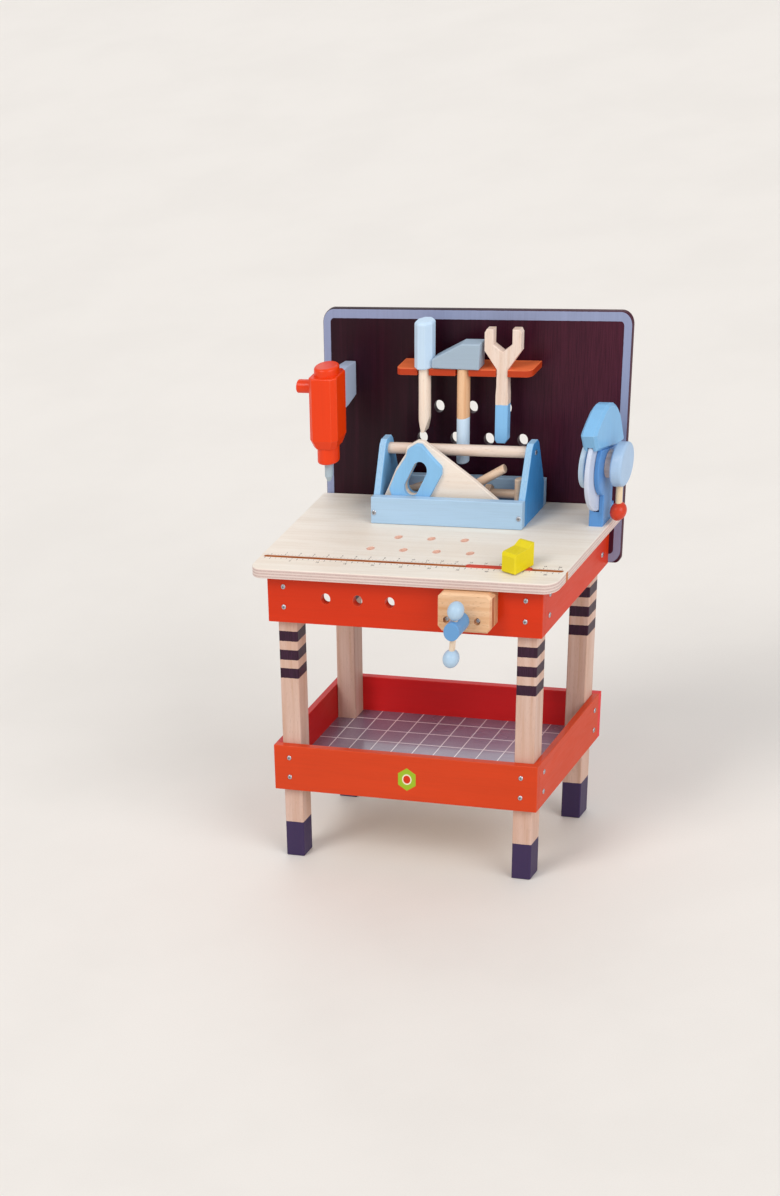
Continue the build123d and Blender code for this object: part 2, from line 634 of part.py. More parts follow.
def screwdriver_handle():
    """Octagonal grip, rounded over at the top."""
    angles = [radians(22.5 + 45 * i) for i in range(8)]
    grip = prism([(DRIVER_X + DRIVER_R * cos(a), TOOL_Y + DRIVER_R * sin(a))
                  for a in angles], "z", REST_Z, DRIVER_TOP)
    grip = soften(grip, 2.4, parallel(Axis.Z))
    grip = soften(grip, 4.5, high(Axis.Z))
    grip = soften(grip, 2.0, low(Axis.Z))
    return one(grip - rod_z(DRIVER_X, TOOL_Y, REST_Z - 1, DRIVER_BORE_Z,
                            TENON_R + PRESS))


def screwdriver_shaft():
    """Round shaft narrowed to a flat tip, with a tenon on top."""
    shaft = rod_z(DRIVER_X, TOOL_Y, SHAFT_Z0, REST_Z - 0.02, SHAFT_R)
    x0, x1 = DRIVER_X - SHAFT_R - 1, DRIVER_X + SHAFT_R + 1
    shaft = shaft & prism([(x0, 624), (DRIVER_X - 2.2, 598), (DRIVER_X + 2.2, 598),
                           (x1, 624), (x1, 700), (x0, 700)], "y",
                          TOOL_Y - 12, TOOL_Y + 12)
    return one(shaft + rod_z(DRIVER_X, TOOL_Y, REST_Z - 2, DRIVER_BORE_Z - GAP,
                             TENON_R))


def wrench():
    body = prism(WRENCH_OUTLINE, "y", TOOL_Y - 6.5, TOOL_Y + 6.5)
    return one(soften(body, 1.4, both(Axis.Y)))


# ------------------------------------------------------------------ drill
DRILL_X0, DRILL_X1, DRILL_Y0, DRILL_Y1 = -243.0, -193.0, 26.0, 76.0
DRILL_Z0, DRILL_Z1 = 595.0, 699.0
DRILL_CX, DRILL_CY = (DRILL_X0 + DRILL_X1) / 2, (DRILL_Y0 + DRILL_Y1) / 2
DRILL_CHAMFER = 8.0
TAPER, TAPER_Z = 5.0, DRILL_Z0 + 13.0    # lower end narrows by TAPER a side
CAP_R, CAP_TOP = 21.0, 711
KNOB_Z, DRILL_KNOB_R, DRILL_KNOB_X0, KNOB_TENON_R = 680, 9.5, -271, 6.0
CHUCK_R, CHUCK_Z0, CHUCK_BORE_Z = 18.5, 570, 585
BIT_R, BIT_TIP_R = 7.0, 3.0              # the chuck's tenon has the bit's radius
BIT_Z0, BIT_TIP_Z = 549, 541
HANDLE_X0, HANDLE_X1 = -227, -207
HANDLE_OUTLINE = [                       # y, z
    (DRILL_Y1, 631.5), (DRILL_Y1, 690), (110, 690), (141.5, 686), (141.5, 637),
    (110, 632)]


def drill_section(inset, z):
    """Square with cut corners, inset on every side."""
    x0, x1 = DRILL_X0 + inset, DRILL_X1 - inset
    y0, y1 = DRILL_Y0 + inset, DRILL_Y1 - inset
    c = DRILL_CHAMFER
    pts = [(x0 + c, y0), (x1 - c, y0), (x1, y0 + c), (x1, y1 - c),
           (x1 - c, y1), (x0 + c, y1), (x0, y1 - c), (x0, y0 + c)]
    return make_face(Polyline(*[Vector(x, y, z) for x, y in pts], close=True))


def drill_rod(z0, z1, r):
    """Cylinder on the drill's upright axis."""
    return rod_z(DRILL_CX, DRILL_CY, z0, z1, r)


def drill_body():
    body = extrude(drill_section(0, TAPER_Z), amount=DRILL_Z1 - TAPER_Z, dir=(0, 0, 1))
    body = soften(body, 2.5, high(Axis.Z))
    body = body + loft([drill_section(TAPER, DRILL_Z0), drill_section(0, TAPER_Z)])
    body = body - drill_rod(DRILL_Z0 - 1, DRILL_Z0 + 20, BIT_R + RUN)
    return one(body - rod_x(DRILL_CY, KNOB_Z, DRILL_X0 - 1, DRILL_X0 + 10,
                            KNOB_TENON_R + PRESS))


def drill_cap():
    return soften(drill_rod(DRILL_Z1, CAP_TOP, CAP_R), 4.5, high(Axis.Z))


def drill_knob():
    """Knob on the left side of the body."""
    knob = rod_x(DRILL_CY, KNOB_Z, DRILL_KNOB_X0, DRILL_X0 - 0.02, DRILL_KNOB_R)
    knob = soften(knob, 3.0, low(Axis.X))
    return one(knob + rod_x(DRILL_CY, KNOB_Z, DRILL_X0 - 0.5, DRILL_X0 + 9.8,
                            KNOB_TENON_R))


def drill_handle():
    """Block behind the body, bored for the peg in the backboard."""
    handle = soften(prism(HANDLE_OUTLINE, "x", HANDLE_X0, HANDLE_X1), 2.2)
    return one(handle - rod_y(PEG_X, PEG_Z, 115, 145, PEG_R + 0.3))


def drill_chuck():
    chuck = drill_rod(CHUCK_Z0, DRILL_Z0 - 0.3, CHUCK_R)
    chuck = soften(chuck, 3.5, low(Axis.Z))
    chuck = soften(chuck, 1.2, high(Axis.Z))
    chuck = chuck + drill_rod(DRILL_Z0 - 2, DRILL_Z0 + 19, BIT_R)
    return one(chuck - drill_rod(CHUCK_Z0 - 1, CHUCK_BORE_Z, BIT_R + PRESS))


def drill_bit():
    point = rod((DRILL_CX, DRILL_CY, BIT_Z0), (DRILL_CX, DRILL_CY, BIT_TIP_Z),
                BIT_R, BIT_TIP_R)
    return one(drill_rod(BIT_Z0, CHUCK_BORE_Z - GAP, BIT_R) + point)


# ---------------------------------------------------------------- toolbox
BOX_X0, BOX_X1, BOX_Y0, BOX_Y1 = -133.0, 136.0, 30.0, 134.0
BOX_T = 12.0                         # wall thickness
BOX_Z0 = TOP_Z1 + GAP
BOX_BOTTOM_T = 8.0
SIDE_TOP, END_TOP = 527.0, 598.0
RAIL_Y, RAIL_Z, RAIL_R = 82.0, 582.0, 8.0
END_OUTLINE = [                      # y, z
    (BOX_Y0 + BOX_T, BOX_Z0), (BOX_Y1 - BOX_T, BOX_Z0), (BOX_Y1 - BOX_T, SIDE_TOP),
    (97, 592), (91, END_TOP), (73, END_TOP), (67, 592), (BOX_Y0 + BOX_T, SIDE_TOP)]
BOX_SCREWS = []
for x in (BOX_X0 + BOX_T / 2, BOX_X1 - BOX_T / 2):
    BOX_SCREWS.append(((x, BOX_Y0, 504.0), (0, 1, 0), SCREW_LEN))
    BOX_SCREWS.append(((x, BOX_Y1, 504.0), (0, -1, 0), SCREW_LEN))
BOX_SCREWS.append(((BOX_X0, RAIL_Y, RAIL_Z), (1, 0, 0), SCREW_LEN))
BOX_SCREWS.append(((BOX_X1, RAIL_Y, RAIL_Z), (-1, 0, 0), SCREW_LEN))


def toolbox_ends():
    ends = []
    for x in (BOX_X0, BOX_X1 - BOX_T):
        end = soften(prism(END_OUTLINE, "x", x, x + BOX_T), 1.6,
                     lambda part: part.edges().filter_by(
                         lambda e: e.center().Z > SIDE_TOP + 5))
        ends.append(one(drill(end, BOX_SCREWS)))
    return ends


def toolbox_sides():
    return [one(drill(soften(bx(BOX_X0, BOX_X1, y, y + BOX_T, BOX_Z0, SIDE_TOP), 1.4),
                      BOX_SCREWS))
            for y in (BOX_Y0, BOX_Y1 - BOX_T)]


def toolbox_bottom():
    return bx(BOX_X0 + BOX_T, BOX_X1 - BOX_T, BOX_Y0 + BOX_T, BOX_Y1 - BOX_T,
              BOX_Z0, BOX_Z0 + BOX_BOTTOM_T)


def toolbox_rail():
    rail = rod_x(RAIL_Y, RAIL_Z, BOX_X0 + BOX_T, BOX_X1 - BOX_T, RAIL_R)
    return one(drill(rail, BOX_SCREWS))


def toolbox_screws():
    return [screw(*s) for s in BOX_SCREWS]


# ---------------------------------------------- wooden bolts and nuts
INSIDE_Z = BOX_Z0 + BOX_BOTTOM_T + 0.1   # just above the toolbox bottom
BOLT_R, BOLT_HEAD_R, BOLT_HEAD_T = 6.7, 13.5, 11.0
NUT_R, NUT_T, NUT_BORE_R = 15.0, 14.0, 7.0
BOLTS = [                                # head end, shank end direction
    ((20, 84, 525.5), (82, 84, 556.5)),
    ((107, 85, INSIDE_Z), (107, 85, 541)),
    ((40, 106, INSIDE_Z + 15.2), (98, 106, INSIDE_Z + 15.2)),
    ((-104, 79.5, 514), (-42, 79.5, 534))]
NUTS = [(-62, 106), (-20, 84), (16, 78), (-97, 108.4)]     # x, y


def hexagon(r):
    return [(r * cos(radians(60 * i)), r * sin(radians(60 * i))) for i in range(6)]


def bolt(start, end):
    """Six-sided head at the start and a plain shank ending 1 mm past the end."""
    start, end = Vector(*start), Vector(*end)
    n = (end - start).length
    head = soften(prism(hexagon(BOLT_HEAD_R), "z", 0, BOLT_HEAD_T), 1.5)
    shank = Pos(0, 0, (n + BOLT_HEAD_T) / 2) * Cylinder(BOLT_R, n - BOLT_HEAD_T + 2)
    shank = bevel(shank, 1.2, high(Axis.Z))
    return Plane(origin=start, z_dir=end - start) * (head + shank)


def wood_bolts():
    return [one(bolt(start, end)) for start, end in BOLTS]


def wood_nuts():
    nuts = []
    for x, y in NUTS:
        nut = soften(prism(hexagon(NUT_R), "z", 0, NUT_T), 1.6)
        nut = nut - rod_z(0, 0, -1, NUT_T + 1, NUT_BORE_R)
        nuts.append(one(Pos(x, y, INSIDE_Z) * nut))
    return nuts


# ---------------------------------------------------------------- handsaw
PLATE_Y0, PLATE_Y1, CHEEK_T = 48.5, 56.5, 6.0
PLATE_OUTLINE = [                    # x, z
    (-118, 520), (-109, 536), (-95, 564), (-78, 586), (-75, 597), (-57, 606),
    (-46, 605), (44, 550), (96, 514), (96, 498), (-102, 498), (-117, 508)]
CHEEK_OUTLINE = [                    # x, z
    (-99, 520.5), (-105.5, 535.5), (-92.2, 562), (-75, 584), (-72.5, 594.5),
    (-56.5, 603), (-47.3, 602.2), (-29, 584.5), (-12, 570), (-12, 558.5),
    (-35.5, 520.5)]
GRIP_X, GRIP_Z, GRIP_TILT = -57.7, 551.6, radians(60)    # oblong grip hole
GRIP_R, GRIP_HALF = 13.0, 15.0       # end radius, half distance of end centres


def grip_hole():
    """Cutter: two round ends and the block between them."""
    (xa, za), (xb, zb) = [(GRIP_X + k * GRIP_HALF * cos(GRIP_TILT),
                           GRIP_Z + k * GRIP_HALF * sin(GRIP_TILT)) for k in (-1, 1)]
    dx, dz = -sin(GRIP_TILT) * GRIP_R, cos(GRIP_TILT) * GRIP_R
    middle = prism([(xa + dx, za + dz), (xb + dx, zb + dz),
                    (xb - dx, zb - dz), (xa - dx, za - dz)], "y", 30, 80)
    return rod_y(xa, za, 30, 80, GRIP_R) + rod_y(xb, zb, 30, 80, GRIP_R) + middle


def handsaw_plate():
    plate = prism(PLATE_OUTLINE, "y", PLATE_Y0, PLATE_Y1)
    plate = soften(plate, 5.0, lambda part: part.edges().filter_by(Axis.Y).filter_by(
        lambda e: e.center().X < -40))
    plate = soften(plate, 1.2, both(Axis.Y))
    return one(plate - grip_hole())


def handsaw_cheeks():
    """Grip plates on both faces, rounded on their outer faces."""
    cheeks = []
    for y, outer in ((PLATE_Y0 - CHEEK_T, low), (PLATE_Y1, high)):
        cheek = prism(CHEEK_OUTLINE, "y", y, y + CHEEK_T)
        cheek = soften(cheek, 5.0, parallel(Axis.Y))
        cheek = soften(cheek, 1.8, outer(Axis.Y))
        cheeks.append(one(cheek - grip_hole()))
    return cheeks


# ------------------------------------------------------------------ files
for name_x, side_x in (("left", -1), ("right", 1)):
    for name_y, side_y in (("front", -1), ("rear", 1)):
        save(leg(side_x, side_y), f"leg_{name_y}_{name_x}")
    save(side_panel(side_x, *APRON_Z), "apron_" + name_x)
    save(side_panel(side_x, *TRAY_Z), "tray_" + name_x)
save(cross_panel(-1, *TRAY_Z), "tray_front")
save(cross_panel(1, *TRAY_Z), "tray_rear")

# every other file has the name of the function that builds its piece
for build in (
        apron_front, apron_rear, tray_floor, frame_cleats, frame_screws, fixing_screws,
        worktop, backboard, tool_rack, drill_peg,
        vice_fixed_jaw, vice_nut_block, vice_moving_jaw, vice_guide_rods,
        vice_guide_screws, vice_spindle, tommy_bar, tommy_balls,
        saw_stand, saw_guard, saw_blade, saw_axle, saw_disc, saw_bosses,
        crank_wheel, crank_peg, crank_ball, stop_runner, stop_block,
        hammer_head, hammer_handle, screwdriver_handle, screwdriver_shaft, wrench,
        drill_body, drill_cap, drill_knob, drill_handle, drill_chuck, drill_bit,
        toolbox_ends, toolbox_sides, toolbox_bottom, toolbox_rail, toolbox_screws,
        wood_bolts, wood_nuts, handsaw_plate, handsaw_cheeks):
    save(build(), build.__name__)
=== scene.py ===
import math

import bpy
from mathutils import Matrix, Vector


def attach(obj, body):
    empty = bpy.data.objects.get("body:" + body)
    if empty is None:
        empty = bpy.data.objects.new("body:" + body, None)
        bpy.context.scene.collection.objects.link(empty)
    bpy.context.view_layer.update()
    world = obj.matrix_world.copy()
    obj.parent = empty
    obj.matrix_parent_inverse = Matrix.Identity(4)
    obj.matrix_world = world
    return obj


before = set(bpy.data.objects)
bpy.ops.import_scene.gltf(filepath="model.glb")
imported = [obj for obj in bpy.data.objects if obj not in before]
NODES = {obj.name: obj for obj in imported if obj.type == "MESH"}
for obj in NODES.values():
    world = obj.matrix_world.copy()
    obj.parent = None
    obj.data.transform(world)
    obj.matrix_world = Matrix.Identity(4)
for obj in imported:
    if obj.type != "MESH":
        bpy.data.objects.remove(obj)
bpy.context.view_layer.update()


# ------------------------------------------------------------ colour helper
def lin(r, g, b):
    def f(c):
        c = c / 255.0
        return c / 12.92 if c <= 0.04045 else ((c + 0.055) / 1.055) ** 2.4
    return (f(r), f(g), f(b), 1.0)


def shade(c, k):
    return (min(c[0] * k, 1), min(c[1] * k, 1), min(c[2] * k, 1), 1.0)


# ------------------------------------------------------------- node helper
class Mat:
    """A small builder for procedural materials. Object coordinates are the
    row frame in metres, so a pattern can be placed by its real position."""

    def __init__(self, name):
        self.m = bpy.data.materials.new(name)
        self.m.use_nodes = True
        self.t = self.m.node_tree
        self.t.nodes.clear()
        self.out = self.t.nodes.new("ShaderNodeOutputMaterial")
        self.b = self.t.nodes.new("ShaderNodeBsdfPrincipled")
        self.t.links.new(self.b.outputs[0], self.out.inputs[0])
        self.P = self.new("ShaderNodeTexCoord").outputs["Object"]
        g = self.new("ShaderNodeNewGeometry")
        self.N = g.outputs["Normal"]
        s = self.new("ShaderNodeSeparateXYZ")
        self.put(s.inputs[0], self.P)
        self.x, self.y, self.z = s.outputs
        s = self.new("ShaderNodeSeparateXYZ")
        self.put(s.inputs[0], self.N)
        self.nx, self.ny, self.nz = s.outputs
        self.height = None

    def new(self, kind, **props):
        n = self.t.nodes.new(kind)
        for k, v in props.items():
            setattr(n, k, v)
        return n

    def put(self, socket, v):
        if isinstance(v, bpy.types.NodeSocket):
            self.t.links.new(v, socket)
        else:
            socket.default_value = v

    def f(self, op, a, b=None, c=None, clamp=False):
        n = self.new("ShaderNodeMath", operation=op, use_clamp=clamp)
        self.put(n.inputs[0], a)
        if b is not None:
            self.put(n.inputs[1], b)
        if c is not None:
            self.put(n.inputs[2], c)
        return n.outputs[0]

    def mix(self, fac, a, b, blend="MIX"):
        n = self.new("ShaderNodeMix", data_type="RGBA", blend_type=blend)
        n.clamp_factor = True
        self.put(n.inputs[0], fac)
        self.put(n.inputs[6], a)
        self.put(n.inputs[7], b)
        return n.outputs[2]

    def step(self, v, a, b):
        """0 below a, 1 above b, smooth in between (a may be above b)."""
        n = self.new("ShaderNodeMapRange", interpolation_type="SMOOTHSTEP")
        self.put(n.inputs[0], v)
        n.inputs[1].default_value, n.inputs[2].default_value = a, b
        return n.outputs[0]

    def remap(self, v, a, b, c, d):
        n = self.new("ShaderNodeMapRange")
        self.put(n.inputs[0], v)
        for i, q in enumerate((a, b, c, d)):
            n.inputs[1 + i].default_value = q
        return n.outputs[0]

    def scaled(self, sx, sy, sz, off=(0, 0, 0), src=None):
        n = self.new("ShaderNodeMapping")
        self.put(n.inputs[0], src if src is not None else self.P)
        n.inputs["Location"].default_value = off
        n.inputs["Scale"].default_value = (sx, sy, sz)
        return n.outputs[0]

    def noise(self, vec, scale=1.0, detail=3.0, rough=0.5, dist=0.0):
        n = self.new("ShaderNodeTexNoise")
        self.put(n.inputs["Vector"], vec)
        n.inputs["Scale"].default_value = scale
        n.inputs["Detail"].default_value = detail
        n.inputs["Roughness"].default_value = rough
        n.inputs["Distortion"].default_value = dist
        return n.outputs[0]

    def xyz(self, x, y, z):
        n = self.new("ShaderNodeCombineXYZ")
        self.put(n.inputs[0], x)
        self.put(n.inputs[1], y)
        self.put(n.inputs[2], z)
        return n.outputs[0]

    def edge(self, radius):
        """1 on a sharp edge, 0 on a flat: how far the rounded normal turns."""
        bv = self.new("ShaderNodeBevel", samples=4)
        bv.inputs[0].default_value = radius
        d = self.new("ShaderNodeVectorMath", operation="DOT_PRODUCT")
        self.put(d.inputs[0], bv.outputs[0])
        self.put(d.inputs[1], self.N)
        return self.remap(d.outputs["Value"], 0.995, 0.90, 0.0, 1.0)

    def done(self, color, rough, height=None, bump=0.2, dist=0.0004, spec=0.5,
             metal=0.0, coat=0.0, coat_rough=0.12):
        self.put(self.b.inputs["Base Color"], color)
        self.put(self.b.inputs["Roughness"], rough)
        self.put(self.b.inputs["Metallic"], metal)
        self.put(self.b.inputs["Specular IOR Level"], spec)
        self.put(self.b.inputs["Coat Weight"], coat)
        self.put(self.b.inputs["Coat Roughness"], coat_rough)
        if height is not None:
            bm = self.new("ShaderNodeBump")
            bm.inputs["Strength"].default_value = bump
            bm.inputs["Distance"].default_value = dist
            self.put(bm.inputs["Height"], height)
            self.put(self.b.inputs["Normal"], bm.outputs[0])
        return self.m


AX = {"x": 0, "y": 1, "z": 2}


def grain_vec(q, axis, along, across, off=(0, 0, 0)):
    s = [across] * 3
    s[AX[axis]] = along
    return q.scaled(*s, off=off)


def wood_parts(q, axis, light, dark, seed=0.0, rings=55.0, contrast=1.0):
    """Colour, roughness and height of bare wood with its grain along an axis.
    Growth bands wander, fibres are fine streaks, pores are short dashes."""
    off = (seed * 1.37, seed * 2.11, seed * 0.73)
    warp = q.noise(grain_vec(q, axis, 3.0, 16.0, off), 1.0, 2.0, 0.5)
    cross = [a for a in "xyz" if a != axis]
    u = {"x": q.x, "y": q.y, "z": q.z}
    lane = q.f("ADD", u[cross[0]], q.f("MULTIPLY", u[cross[1]], 0.45))
    band = q.f("ADD", q.f("MULTIPLY", lane, rings * 6.283),
               q.f("MULTIPLY", warp, 22.0))
    band = q.f("MULTIPLY_ADD", q.f("SINE", band), 0.5, 0.5)
    band = q.f("POWER", band, 2.2)
    fibre = q.noise(grain_vec(q, axis, 26.0, 900.0, off), 1.0, 4.0, 0.62)
    streak = q.noise(grain_vec(q, axis, 5.0, 150.0, off), 1.0, 3.0, 0.55)
    pore = q.noise(grain_vec(q, axis, 120.0, 1700.0, off), 1.0, 1.0, 0.4)
    pore = q.step(pore, 0.66, 0.74)
    cloud = q.noise(grain_vec(q, axis, 4.0, 9.0, off), 1.0, 2.0, 0.5)
    k = q.f("MULTIPLY", band, 0.30 * contrast)
    k = q.f("ADD", k, q.f("MULTIPLY", q.step(streak, 0.38, 0.72),
                          0.42 * contrast))
    k = q.f("ADD", k, q.f("MULTIPLY", q.step(fibre, 0.40, 0.75),
                          0.22 * contrast), clamp=True)
    col = q.mix(k, light, dark)
    col = q.mix(q.f("MULTIPLY", q.step(cloud, 0.42, 0.70), 0.35), col,
                shade(dark, 1.12))
    col = q.mix(q.f("MULTIPLY", pore, 0.45 * contrast), col, shade(dark, 0.55))
    # end grain: darker, speckled
    n_ax = {"x": q.nx, "y": q.ny, "z": q.nz}[axis]
    end = q.step(q.f("ABSOLUTE", n_ax), 0.80, 0.95)
    speck = q.noise(q.scaled(1500, 1500, 1500, off), 1.0, 2.0, 0.6)
    endc = q.mix(q.step(speck, 0.35, 0.7), shade(dark, 0.98), shade(dark, 0.62))
    endc = q.mix(q.f("MULTIPLY", band, 0.5), endc, shade(light, 0.72))
    col = q.mix(end, col, endc)
    h = q.f("SUBTRACT", q.f("MULTIPLY", fibre, 0.7), q.f("MULTIPLY", pore, 0.8))
    h = q.f("ADD", h, q.f("MULTIPLY", streak, 0.5))
    rough = q.remap(fibre, 0.3, 0.7, 0.42, 0.58)
    return col, rough, h, end


def wood(name, axis, light, dark, seed=0.0, rings=55.0, contrast=1.0,
         coat=0.12, side=None):
    q = Mat(name)
    col, rough, h, end = wood_parts(q, axis, light, dark, seed, rings, contrast)
    # a given side colour is multiplied onto the faces towards +x: a painted shade on that
    # side
    if side is not None:
        col = q.mix(q.f("MULTIPLY", q.step(q.nx, 0.5, 0.9), 0.8), col, side,
                    "MULTIPLY")
    e = q.edge(0.0012)
    col = q.mix(q.f("MULTIPLY", e, 0.35), col, shade(light, 1.12))
    return q.done(col, rough, h, 0.35, 0.0003, 0.25, coat=coat * 0.4,
                  coat_rough=0.3)


def paint_parts(q, axis, base, seed=0.0, wear=0.5, wearc=None, thin=0.10,
                radius=0.0013, top_highlight=None):
    """Brushed paint on wood: the grain shows through a little, the film is
    thinner and paler on the edges, and the sheen is uneven."""
    off = (seed * 1.9, seed * 0.7, seed * 2.3)
    grain = q.noise(grain_vec(q, axis, 16.0, 520.0, off), 1.0, 4.0, 0.6)
    broad = q.noise(grain_vec(q, axis, 3.0, 45.0, off), 1.0, 3.0, 0.55)
    cloud = q.noise(q.scaled(7, 7, 7, off), 1.0, 3.0, 0.5)
    peel = q.noise(q.scaled(420, 420, 420, off), 1.0, 2.0, 0.5)
    col = q.mix(q.f("MULTIPLY", q.step(grain, 0.42, 0.72), thin * 1.5), base,
                shade(base, 0.70))
    col = q.mix(q.f("MULTIPLY", q.step(broad, 0.40, 0.70), thin * 1.8), col,
                shade(base, 1.28))
    col = q.mix(q.f("MULTIPLY", q.step(cloud, 0.40, 0.65), thin * 1.2), col,
                shade(base, 0.84))
    wearc = wearc or shade(base, 1.5)
    # top colour on upward faces: a painted highlight, lighter where the light falls from
    # above
    if top_highlight is not None:
        col = q.mix(q.step(q.nz, 0.3, 0.9), col,
                    q.mix(q.step(grain, 0.4, 0.7), top_highlight, shade(top_highlight, 0.85)))
    scuff = q.noise(q.scaled(160, 160, 160, off), 1.0, 4.0, 0.65)
    e = q.edge(radius)
    e = q.f("MULTIPLY", e, q.remap(scuff, 0.35, 0.70, 0.25, 1.0))
    col = q.mix(q.f("MULTIPLY", e, wear), col, wearc)
    rub = q.noise(grain_vec(q, axis, 30.0, 300.0, off), 1.0, 4.0, 0.6)
    h = q.f("ADD", q.f("MULTIPLY", grain, 0.75), q.f("MULTIPLY", peel, 0.35))
    h = q.f("ADD", h, q.f("MULTIPLY", rub, 0.25))
    rough = q.remap(q.f("ADD", q.f("MULTIPLY", cloud, 0.5),
                        q.f("MULTIPLY", rub, 0.5)), 0.35, 0.65, 0.30, 0.46)
    return col, rough, h, e


def paint(name, axis, base, seed=0.0, wear=0.5, gloss=0.25, wearc=None,
          thin=0.10, radius=0.0013, bump=0.3, top_highlight=None):
    q = Mat(name)
    col, rough, h, e = paint_parts(q, axis, base, seed, wear, wearc, thin,
                                   radius, top_highlight)
    return q.done(col, rough, h, bump, 0.00025, 0.16, coat=gloss * 0.3,
                  coat_rough=0.14)


def turned(name, axis, centre, base, seed=0.0, gloss=0.3, wear=0.35,
           wearc=None):
    """Paint on a turned piece: fine lathe rings round its axis."""
    q = Mat(name)
    col, rough, h, e = paint_parts(q, axis, base, seed, wear, wearc, 0.08)
    u = {"x": q.x, "y": q.y, "z": q.z}
    cr = [a for a in "xyz" if a != axis]
    da = q.f("SUBTRACT", u[cr[0]], centre[AX[cr[0]]])
    db = q.f("SUBTRACT", u[cr[1]], centre[AX[cr[1]]])
    r = q.f("SQRT", q.f("ADD", q.f("MULTIPLY", da, da),
                        q.f("MULTIPLY", db, db)))
    wob = q.noise(q.scaled(30, 30, 30), 1.0, 2.0, 0.5)
    ring = q.f("SINE", q.f("ADD", q.f("MULTIPLY", r, 5200.0),
                           q.f("MULTIPLY", wob, 6.0)))
    h = q.f("ADD", h, q.f("MULTIPLY", ring, 0.10))
    col = q.mix(q.f("MULTIPLY", q.remap(ring, -1, 1, 0, 1), 0.05), col,
                shade(base, 0.8))
    return q.done(col, rough, h, 0.3, 0.00022, 0.2, coat=gloss * 0.4,
                  coat_rough=0.13)


# ----------------------------------------------------------------- palette
RED = (0.62, 0.031, 0.003, 1.0)
RED_TRAY = (0.62, 0.050, 0.008, 1.0)
RED_DEEP = (0.55, 0.013, 0.012, 1.0)
NAVY = lin(58, 43, 80)
BAND = lin(46, 17, 38)
LEG_L, LEG_D = lin(214, 184, 170), lin(192, 150, 126)
PLY_L, PLY_D = lin(243, 235, 223), lin(222, 206, 187)
WARM_L, WARM_D = lin(234, 192, 152), lin(208, 150, 104)
PALE_L, PALE_D = lin(240, 222, 192), lin(218, 188, 148)
SKY = lin(128, 183, 226)
SKY_D = lin(94, 148, 208)
PALEB = lin(186, 214, 240)
MIDB = lin(104, 156, 206)
GREYB = lin(164, 182, 198)
PLUM = (0.022, 0.0022, 0.0085, 1.0)
LILAC = lin(146, 155, 187)
YEL = lin(226, 206, 22)
LIME = lin(150, 188, 40)
CREAM = lin(240, 226, 200)


def leg_material(name, seed):
    """Lacquered wood with a dark painted foot and three dark bands."""
    q = Mat(name)
    wc, wr, wh, end = wood_parts(q, "z", LEG_L, LEG_D, seed, 42.0, 1.0)
    pc, pr, ph, e = paint_parts(q, "z", NAVY, seed, 0.35, lin(104, 88, 132))
    wob = q.noise(q.scaled(240, 240, 60), 1.0, 3.0, 0.6)
    z = q.f("ADD", q.z, q.f("MULTIPLY", q.f("SUBTRACT", wob, 0.5), 0.0012))
    m = q.step(z, 0.0602, 0.0596)
    bn = q.noise(q.scaled(500, 500, 60), 1.0, 3.0, 0.6)
    bc = q.mix(q.f("MULTIPLY", q.step(bn, 0.4, 0.7), 0.5), BAND,
               lin(70, 34, 62))
    pc = q.mix(q.step(z, 0.20, 0.21), pc, bc)
    for a, b in ((0.3035, 0.3195), (0.333, 0.349), (0.363, 0.379)):
        up = q.step(z, a - 0.0003, a + 0.0003)
        dn = q.step(z, b + 0.0003, b - 0.0003)
        m = q.f("MAXIMUM", m, q.f("MULTIPLY", up, dn))
    we = q.edge(0.0012)
    wc = q.mix(q.f("MULTIPLY", we, 0.3), wc, shade(LEG_L, 1.1))
    col = q.mix(m, wc, pc)
    rough = q.f("ADD", q.f("MULTIPLY", m, pr),
                q.f("MULTIPLY", q.f("SUBTRACT", 1.0, m), wr))
    h = q.f("ADD", q.f("MULTIPLY", m, ph),
            q.f("MULTIPLY", q.f("SUBTRACT", 1.0, m), wh))
    h = q.f("ADD", h, q.f("MULTIPLY", m, 0.35))
    return q.done(col, rough, h, 0.35, 0.0003, 0.22, coat=0.05,
                  coat_rough=0.22)


def ply_edges(q, col, h, z0, t, layers, light, dark):
    """Plies on the edge of a board lying flat: alternate plies show long and
    end grain, with thin dark glue lines."""
    v = q.f("MULTIPLY", q.f("SUBTRACT", q.z, z0), layers / t)
    wob = q.noise(q.scaled(14, 14, 4), 1.0, 2.0, 0.5)
    v = q.f("ADD", v, q.f("MULTIPLY", q.f("SUBTRACT", wob, 0.5), 0.25))
    par = q.f("MODULO", q.f("ADD", v, 20.0), 2.0)
    odd = q.f("MULTIPLY", q.step(par, 0.94, 1.06), q.step(par, 2.0, 1.94))
    fr = q.f("FRACT", q.f("ADD", v, 20.0))
    line = q.f("MAXIMUM", q.step(fr, 0.10, 0.04), q.step(fr, 0.90, 0.96))
    fib = q.noise(q.scaled(420, 420, 900), 1.0, 4.0, 0.65)
    lng = q.noise(q.scaled(60, 60, 1500), 1.0, 3.0, 0.6)
    a = q.mix(q.step(lng, 0.35, 0.7), light, shade(light, 0.88))
    b = q.mix(q.step(fib, 0.35, 0.65), dark, shade(dark, 0.80))
    c = q.mix(odd, a, b)
    c = q.mix(q.f("MULTIPLY", line, 0.30), c, shade(dark, 0.50))
    side = q.step(q.f("ABSOLUTE", q.nz), 0.75, 0.35)
    col = q.mix(side, col, c)
    hh = q.f("SUBTRACT", q.f("MULTIPLY", fib, 0.6), q.f("MULTIPLY", line, 0.5))
    h = q.f("ADD", q.f("MULTIPLY", side, hh),
            q.f("MULTIPLY", q.f("SUBTRACT", 1.0, side), h))
    return col, h, side


